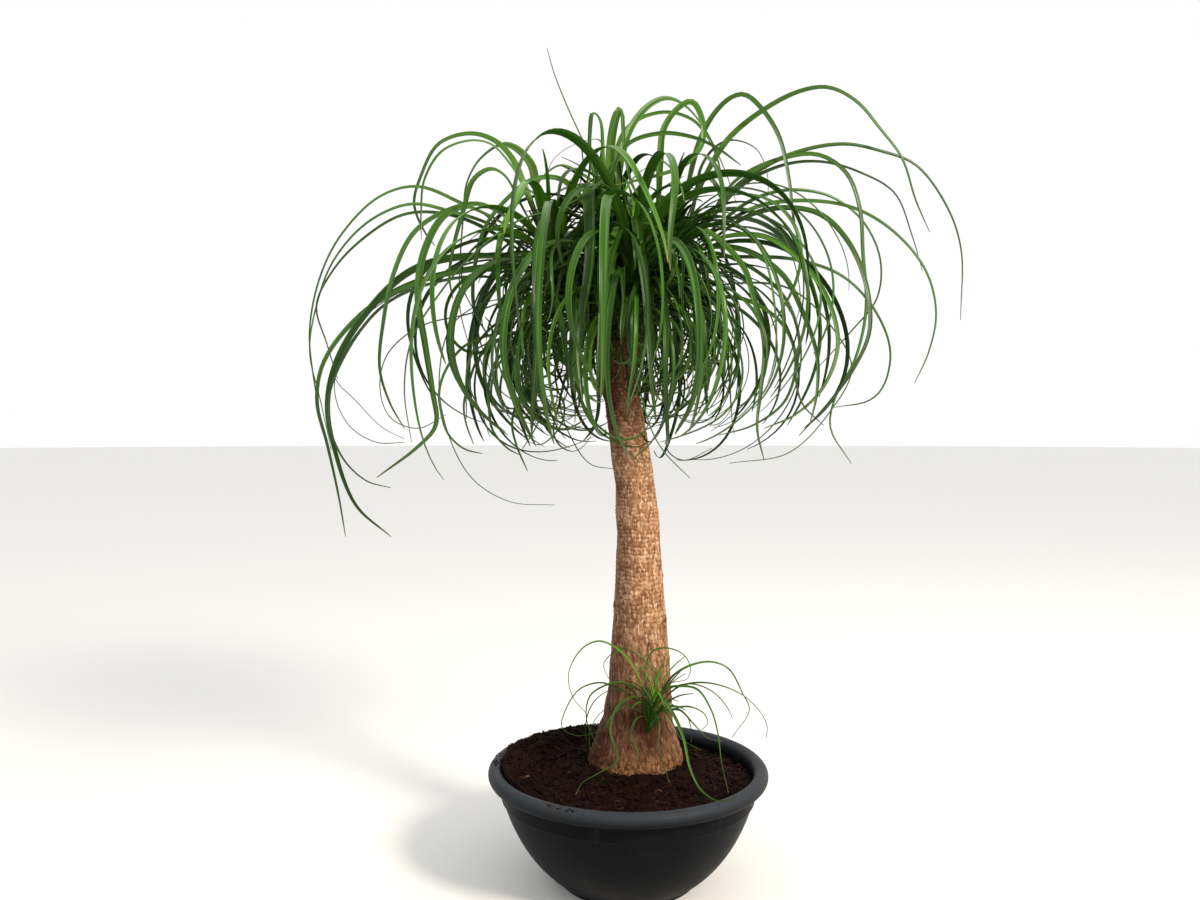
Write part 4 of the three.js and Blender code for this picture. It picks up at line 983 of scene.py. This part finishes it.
def on_lip(count, start, end):
    """Places on top of the pot's lip, between two angles."""
    spots = []
    for _ in range(count):
        angle, reach = draw(start, end), draw(-8, 7)
        x, y = ((POT_RADIUS - LIP_RADIUS + reach) * way for way in (math.cos(angle), math.sin(angle)))
        spots.append((x, y, POT_HEIGHT - LIP_RADIUS + math.sqrt(LIP_RADIUS**2 - reach**2)))
    return spots


def make_crumbs(material):
    """Loose crumbs of peat, on the fill and spilt on the lip."""
    bm = bmesh.new()
    spots = [(spot, draw(1.0, 3.4)) for spot in scattered(CRUMBS)]
    spilt = [spot for stretch in LIP_CRUMBS for spot in on_lip(*stretch)]
    spots += [(spot, draw(0.4, 1.8)) for spot in spilt]
    for (x, y, z), size in spots:
        turn = Matrix.Rotation(draw(*ANY_WAY), 4, Vector((draw(-1, 1), draw(-1, 1), 1)))
        shape = Matrix.Diagonal((size * draw(0.7, 1.3), size * draw(0.6, 1.2), size * draw(0.5, 0.9), 1))
        place = Matrix.Translation((x, y, z + size * draw(0.1, 0.6))) @ turn @ shape
        bmesh.ops.create_icosphere(bm, subdivisions=1, radius=1, matrix=place)
    finished(bm, "peat_crumbs", material, "peat")


def make_chips(material):
    """Wood chips lying on the peat."""
    bm = bmesh.new()
    tone = bm.verts.layers.float.new("tone")
    for x, y, z in scattered(CHIPS):
        size = (draw(1.2, 4.4), draw(0.7, 1.8), draw(0.3, 0.8))
        turn = (Matrix.Rotation(draw(*ANY_WAY), 4, "Z") @ Matrix.Rotation(draw(-0.5, 0.5), 4, "X")
                @ Matrix.Rotation(draw(-0.4, 0.4), 4, "Y"))
        place = Matrix.Translation((x, y, z + draw(1.0, 2.6))) @ turn @ Matrix.Diagonal((*size, 1))
        chip = bmesh.ops.create_cube(bm, size=2, matrix=place)["verts"]
        shade = draw(0, 1)
        for vert in chip:
            vert.co += Vector((draw(-0.3, 0.3), draw(-0.3, 0.3), draw(-0.15, 0.15)))
            vert[tone] = shade
    finished(bm, "wood_chips", material, "peat", sharp=40)


def make_fibres(material):
    """Bowed wood fibres lying on the peat."""
    bm = bmesh.new()
    tone = bm.verts.layers.float.new("tone")
    steps = 7
    for x, y, z in scattered(FIBRES):
        length, heading, bow, shade = draw(7, 22), draw(*ANY_WAY), draw(-0.5, 0.5), draw(0.1, 0.97)
        fibre = bmesh.ops.create_grid(bm, x_segments=steps, y_segments=1, size=0.5)["verts"]
        for vert in fibre:
            along, across = vert.co.x, 0.9 * vert.co.y
            turn = heading + 2 * bow * along
            spot_x = x + length * along * math.cos(turn) - across * math.sin(turn)
            spot_y = y + length * along * math.sin(turn) + across * math.cos(turn)
            vert.co = (spot_x, spot_y, z + 1.5 + 3 * (1 - 4 * along**2))
            vert[tone] = shade
    bmesh.ops.solidify(bm, geom=bm.faces[:], thickness=0.5)
    bmesh.ops.recalc_face_normals(bm, faces=bm.faces)
    finished(bm, "wood_fibres", material, "peat", sharp=40)


# Trunk.

def make_trunk(material):
    """A swollen foot and a slim stem under thin cork: ringed above, and broken into coarse strips below."""
    bm = bmesh.new()
    layers = [bm.verts.layers.float.new(name) for name in BARK_LAYERS]
    in_peat, in_air = np.linspace(TRUNK_BOTTOM, 160, 6)[:-1], np.linspace(160, TRUNK_TOP - 1.5, 420)
    heights = np.concatenate([in_peat, in_air])
    profile = [(0, TRUNK_BOTTOM)] + [(float(trunk_at(height)[0]), height) for height in heights]
    turned(bm, profile + [(24, TRUNK_TOP), (12, TRUNK_TOP), (0, TRUNK_TOP)], TRUNK_SIDES)
    places = places_of(bm)
    x, y, z = places.T
    around, radius = np.arctan2(y, x), np.hypot(x, y)
    skin = smooth(FOOT_TOP - 14, FOOT_TOP + 6, z) * (radius > 20)
    low = 1 - smooth(230, 420, z)
    swell = 1 - smooth(170, 240, z)
    ring = np.stack([45 * np.cos(around), 45 * np.sin(around), z], 1)
    upright = np.stack([60 * np.cos(around), 60 * np.sin(around), z * 0.22], 1)
    # Leaf scars ring the stem, each dying out here and there.
    spacings = list(zip(*SCAR_SPACINGS))
    spacing = np.interp(z, *spacings)
    levels = np.linspace(TRUNK_BOTTOM, TRUNK_TOP, 1400)
    passed = np.cumsum(np.full(levels.shape, levels[1] - levels[0]) / np.interp(levels, *spacings))
    row = np.interp(z, levels, passed) + 0.5 * noise_at(ring, 22, 3) + 0.25 * noise_at(ring, 8, 6)
    from_scar = np.abs(row - np.round(row)) * spacing
    strength = np.clip(0.75 + 1.6 * noise_at(ring, 18, 11), 0, 1) * (1 - 0.8 * low)
    scar = (1 - smooth(0.2, 1.3, from_scar)) * strength
    # Strips part along the stem, most of all low down.
    strip = 1 - smooth(0.02, 0.22, np.abs(noise_at(upright, 8, 5)))
    crack = strip * blend(0.25, 0.8, low)
    lumps = noise_at(ring, 42) * 1.5 + noise_at(ring, 12, 17) * blend(0.5, 1.5, low)
    lumps = lumps + noise_at(upright, 5, 23) * low
    flutes = swell * 1.5 * np.sin(5 * around + z / 60)
    fringe = 1 - smooth(FOOT_TOP + 6, FOOT_TOP + 26, z + 12 * noise_at(ring, 10, 29))
    tuft = fringe * (2.2 * noise_at(upright, 2.6, 31) + 2.5 * noise_at(ring, 9, 37))
    knot, scab = 0, 0
    for turn, height, size in KNOTS:
        away = np.hypot(np.angle(np.exp(1j * (around - turn))) * 55, z - height) / size
        knot = knot + size * (4.2 * np.exp(-((away / 10) ** 2)) - 3 * np.exp(-((away / 4.5) ** 2)))
        scab = scab + np.exp(-((away / 6) ** 2))
    reach = radius + skin * (lumps + flutes + tuft + knot - SCAR_DEPTH * scar - CRACK_DEPTH * crack)
    shift = trunk_at(z)[1]
    move_to(bm.verts, np.stack([shift + reach * np.cos(around), reach * np.sin(around), z], 1))
    # Painted shade for the shade layer: the left side and the top under the crown are darkened, and so is
    # the bark round the basal shoot's foot. The foot is also darkened from 420 mm down to 190 mm, as
    # painted shade over real noise mottling. The knots' scabs are the bark's own colour.
    painted_shade_left_and_top = 0.4 * smooth(0.0, 0.9, -np.cos(around)) + 0.95 * smooth(590, 725, z)
    painted_shade_by_shoot = 0.8 * np.exp(-(((z - 232) / 34) ** 2)) * np.exp(-(((around - SHOOT_TURN) / 0.5) ** 2))
    mottle_and_foot_shade = 0.35 * np.maximum(0, noise_at(ring, 34, 21)) + 0.42 * (1 - smooth(190, 420, z))
    set_values(bm.verts, layers, (
        1 - np.clip(0.8 * scar + 0.8 * crack + 0.3 * scab, 0, 1), low,
        np.clip(painted_shade_left_and_top + painted_shade_by_shoot + mottle_and_foot_shade + 0.7 * scab, 0, 1), fringe * 0.8, around * radius, row,
    ))
    finished(bm, "barked_trunk", material, "bark", "trunk")


# Leaves.

def add_blade(bm, layers, leaf, rows, columns):
    """A flat strip bent along the leaf's course: a shallow channel that tapers to a dry thread."""
    strip = bmesh.ops.create_grid(bm, x_segments=rows, y_segments=columns, size=0.5)["verts"]
    s = np.linspace(0, 1, rows + 1)
    index = np.arange(RIB_STEPS + 1)
    rib = curve_at(leaf["rib"], s)
    side, face = (
        np.stack([np.interp(s * RIB_STEPS, index, values) for values in leaf[part].T], 1)
        for part in ("side", "face")
    )
    turn = (turned_to_view(leaf) * smooth(0, 0.3, s))[:, None]
    side, face = (unit(way) for way in (side * np.cos(turn) + face * np.sin(turn),
                                        face * np.cos(turn) - side * np.sin(turn)))
    sway = (leaf["sway"] * smooth(0.3, 1, s))[:, None]
    phase = 6 * leaf["tone"]
    weave = face * np.sin(8 * s + phase)[:, None] + 0.5 * side * np.sin(11 * s + 2 * phase)[:, None]
    rib = rib + sway * weave
    wide = leaf_width(leaf["width"], s, leaf["foot"], 0.7, leaf["taper"])
    c = np.linspace(-1, 1, columns + 1)[:, None, None]
    hollow = leaf["channel"] * wide[:, None] * (1 - np.abs(c) ** 1.5)
    places = rib + side * (c * wide[:, None] / 2) - face * hollow
    move_to(strip, places.reshape(-1, 3))
    across = np.repeat(c.ravel() * leaf["width"] / 2, rows + 1)
    set_values(strip, layers[:4], (np.tile(s, columns + 1), across, leaf["tone"], leaf["youth"]))


def dressed(leaf, tone, youth=0.0, foot=0.62, channel=0.13, turn=0.0, sway=0.0, taper=0.54):
    """Adds what the blade needs beyond its course."""
    leaf.update(tone=tone, youth=youth, foot=foot, channel=channel, turn=turn, sway=sway, taper=taper)
    return leaf


def turned_to_view(leaf):
    """How far a single leaf is turned about its rib, to show some of its upper side in front."""
    if leaf["turn"] == 0:
        return 0
    middle = slice(RIB_STEPS // 5, 4 * RIB_STEPS // 5)
    sight = unit(np.array([VIEW_SIDE, -VIEW_DISTANCE, VIEW_HEIGHT]) - leaf["rib"][middle])
    best = math.atan2(-dot(leaf["side"][middle], sight).sum(), dot(leaf["face"][middle], sight).sum())
    return min(1.5, max(-1.5, best * leaf["turn"]))


def curling_rib(root, heading, rise, fall, curl, swing, length):
    """Arches over, and coils ever tighter towards its tip."""
    s = np.arange(RIB_STEPS) / RIB_STEPS
    return swept_rib(root, heading, swing, rise - fall * s - curl * s**3, length)


def curled_leaf(shoot, age, heading):
    """A thin old leaf low in the head. Two in five reach out and drop. The others coil up at their ends."""
    rise = math.radians(draw(-8, 34) + 26 * age) - 0.55 * tilt_of(shoot, heading)
    if draw(0, 1) < 0.4:
        fall, curl, length = draw(1.9, 3.2), draw(0.2, 1.2), draw(240, 370)
    else:
        fall, curl, length = draw(2.0, 3.2), draw(2.0, 5.5), draw(210, 370)
    root = stem_place(shoot, 0.08 + 0.8 * age)
    course = curling_rib(root, heading, rise, fall, curl, draw(-1.7, 1.7), length)
    width = blend(4.5, 7, age) * draw(0.75, 1.1)
    leaf = leaf_of(course, width, draw(-0.6, 0.6), draw(-1.4, 1.4), RULE_SEGMENTS)
    return dressed(leaf, draw(0, 1), draw(0, 0.3), sway=4.0, taper=0.38)


def in_the_way(leaf):
    """Whether a curled leaf hangs too low, or crosses in front of the bare trunk."""
    x, y, z = leaf["rib"].T
    half_width, depth, top = BARE_TRUNK
    return z.min() < CURLED_LOWEST or bool(((np.abs(x) < half_width) & (y < depth) & (z < top)).any())


def clasping_leaf(shoot, share, heading, basal):
    """A leaf that wraps the stem with its broad foot and hides it."""
    girth = shoot["plug"] * (1.35 - 0.9 * max(0, share - 0.5))
    outward = np.array([math.cos(heading), math.sin(heading), 0.0])
    outward = unit(outward - shoot["way"] * dot(outward, shoot["way"]))
    root = stem_place(shoot, share) + outward * girth * (0.55 if basal else 0.8)
    rise = math.pi / 2 - draw(0.12, 0.34) - 0.7 * tilt_of(shoot, heading)
    fall, length, width = draw(1.2, 3.2), blend(190, 130, share) * draw(0.7, 1.3), blend(13, 8, share)
    if basal:
        fall, length, width = 0.5 * fall, 0.4 * length, 0.42 * width
    course = ruled_rib(root, heading, rise, fall, 0.4, draw(-0.6, 0.6), length)
    leaf = leaf_of(course, width, draw(-0.2, 0.2), draw(-0.3, 0.3), RULE_SEGMENTS)
    return dressed(leaf, draw(0, 0.8), 0.7 * share**2, 1.25, 0.3)


def spear_leaf(shoot, heading, basal):
    """A pale young leaf, still upright in the growing tip."""
    rise = math.radians(draw(66, 86)) - 0.4 * tilt_of(shoot, heading)
    length, width = draw(80, 170), draw(6, 10)
    if basal:
        length, width = 0.5 * length, 0.5 * width
    root = stem_place(shoot, draw(0.84, 1.0))
    course = ruled_rib(root, heading, rise, draw(0.8, 2.0), 0.3, draw(-0.3, 0.3), length)
    leaf = leaf_of(course, width, draw(-0.3, 0.3), draw(-0.5, 0.5), RULE_SEGMENTS)
    return dressed(leaf, draw(0.7, 1), draw(0.75, 1), 0.9, 0.25)


def stem_radius(shoot, distance):
    """A plain plug, a belly under the leaves' feet, and a slim growing tip."""
    plug, share = shoot["plug"], distance / shoot["length"]
    if shoot["name"] == "basal_shoot":
        plug *= 0.7
    elif distance < 12:
        return plug
    belly = blend(plug, plug * 1.45, smooth(0.08, 0.4, share))
    return float(belly * (1 - 0.72 * smooth(0.55, 1.05, share)))


def add_stem(bm, layers, shoot, basal):
    """The stem that the leaves' feet wrap, sunk into the trunk's top."""
    stem = bmesh.new()
    rows = np.linspace(-14, shoot["length"], 24)
    profile = [(0, rows[0]), *((stem_radius(shoot, row), row) for row in rows), (0, rows[-1] + 2)]
    turned(stem, profile, 24)
    turn = Vector((0, 0, 1)).rotation_difference(Vector(shoot["way"])).to_matrix().to_4x4()
    bmesh.ops.transform(stem, matrix=Matrix.Translation(shoot["foot"]) @ turn, verts=stem.verts)
    mesh = mesh_of(stem, "stem")
    start = len(bm.verts)
    bm.from_mesh(mesh)
    bpy.data.meshes.remove(mesh)
    bm.verts.ensure_lookup_table()
    set_values(bm.verts[start:], layers, (0.3 if basal else 0.99, 0.0, 0.0, 0.0, 0.0))


def make_head(shoot, threads, material, slot):
    """A head of leaves: those of the solids, and among them thinner, younger and clasping ones."""
    basal = shoot["name"] == "basal_shoot"
    bm = bmesh.new()
    layers = [bm.verts.layers.float.new(name) for name in LEAF_LAYERS]
    young, turn, slim = HEAD_LOOKS[shoot["name"]]
    for leaf in shoot["leaves"]:
        youth = young if basal else young * float(smooth(0.4, 0.95, leaf["age"])) * draw(0.3, 1)
        if leaf["noted"]:
            tone = draw(0, 0.6 if basal else 1)
            shown = turn * blend(0.35, 1, leaf["age"]) * draw(0.7, 1.3)
            dressed(leaf, tone, youth, turn=shown, taper=0.8 if basal else 0.54)
        else:
            dressed(leaf, draw(0, 1), youth, sway=0.0 if basal else draw(2, 12), taper=0.42)
        # The basal shoot's tallest leaf is young and broad, and narrows evenly to its tip.
        tallest = basal and leaf is shoot["leaves"][0]
        if tallest:
            leaf.update(youth=0.8, taper=1.6)
        leaf["width"] *= 1.2 if tallest else slim
        rows = NOTED_ROWS if leaf["noted"] else RULED_ROWS
        add_blade(bm, layers, leaf, rows, 4 if leaf["width"] > 6 else 2)
    for at, width, lean, roll, rib in threads:
        course = noted_rib(stem_place(shoot, at), rib, lean)
        leaf = leaf_of(course, width, roll, draw(-0.5, 0.5), NOTED_SEGMENTS)
        dressed(leaf, draw(0.2, 1), draw(0, 0.4), turn=0.5, taper=0.4)
        add_blade(bm, layers, leaf, NOTED_ROWS, 2)
    curled, clasping, spears = SHOOT_EXTRAS if basal else CROWN_EXTRAS
    curled -= 2 * len(threads)
    for i in range(curled):
        heading = 0.9 + i * GOLDEN_ANGLE + draw(-0.5, 0.5)
        leaf = curled_leaf(shoot, 0.75 * (i + 0.5) / curled, heading)
        if not in_the_way(leaf):
            add_blade(bm, layers, leaf, CURLED_ROWS, 2)
    for i in range(clasping):
        share = blend(0.0 if basal else 0.1, 0.96, (i + 0.5) / clasping)
        add_blade(bm, layers, clasping_leaf(shoot, share, i * GOLDEN_ANGLE, basal), CLASPING_ROWS, 4)
    for i in range(spears):
        add_blade(bm, layers, spear_leaf(shoot, i * GOLDEN_ANGLE, basal), SPEAR_ROWS, 4)
    upper = len(bm.verts)
    bmesh.ops.solidify(bm, geom=bm.faces[:], thickness=BLADE_THICKNESS)
    bm.verts.ensure_lookup_table()
    set_values(bm.verts[upper:], layers[4:], (1.0,))
    add_stem(bm, layers, shoot, basal)
    finished(bm, shoot["name"] + "_leaves", material, slot, shoot["name"], sharp=50)


# Studio.

def make_studio():
    """A pale floor to the horizon, a white sky, a large lamp at the front right and the viewer's camera."""
    bm = bmesh.new()
    bmesh.ops.create_circle(bm, cap_ends=True, segments=96, radius=STUDIO_RADIUS)
    mesh = mesh_of(bm, "studio_floor")
    mesh.materials.append(board_material())
    floor = put_in("studio_floor", mesh)
    world = bpy.data.worlds.new("white_studio")
    bpy.context.scene.world = world
    world.use_nodes = True
    sky = world.node_tree.nodes["Background"].inputs
    sky[0].default_value = linear("#ffffff")
    sky[1].default_value = 1.0
    light = bpy.data.lights.new("key_softbox", "AREA")
    light.shape = "DISK"
    light.size = LAMP_SIZE
    light.energy = LAMP_POWER
    light.color = linear(LAMP_COLOUR)[:3]
    lamp = put_in("key_softbox", light)
    lamp.location = LAMP_PLACE
    lamp.rotation_euler = (Vector(LAMP_AIM) - Vector(LAMP_PLACE)).to_track_quat("-Z", "Y").to_euler()
    camera = bpy.data.cameras.new("camera")
    camera.sensor_width = 36
    camera.lens = VIEW_LENS
    eye = put_in("camera", camera)
    eye.location = (VIEW_SIDE * MM, -VIEW_DISTANCE * MM, VIEW_HEIGHT * MM)
    eye.rotation_euler = (math.radians(90 - VIEW_PITCH), 0, 0)
    bpy.context.scene.camera = eye
    bpy.context.scene.view_settings.view_transform = "Standard"


make_studio()
leaf_skin = leaf_material()
for shoot, threads in zip(grow_plant(), (LEFT_THREADS, FRONT_THREADS, [], RIGHT_THREADS, [])):
    make_head(shoot, threads, leaf_skin, "young_leaf" if shoot["name"] == "basal_shoot" else "leaf")
make_trunk(bark_material())
make_pot(plastic_material())
peat = peat_material()
make_peat(peat)
make_crumbs(peat)
wood = chip_material()
make_chips(wood)
make_fibres(wood)
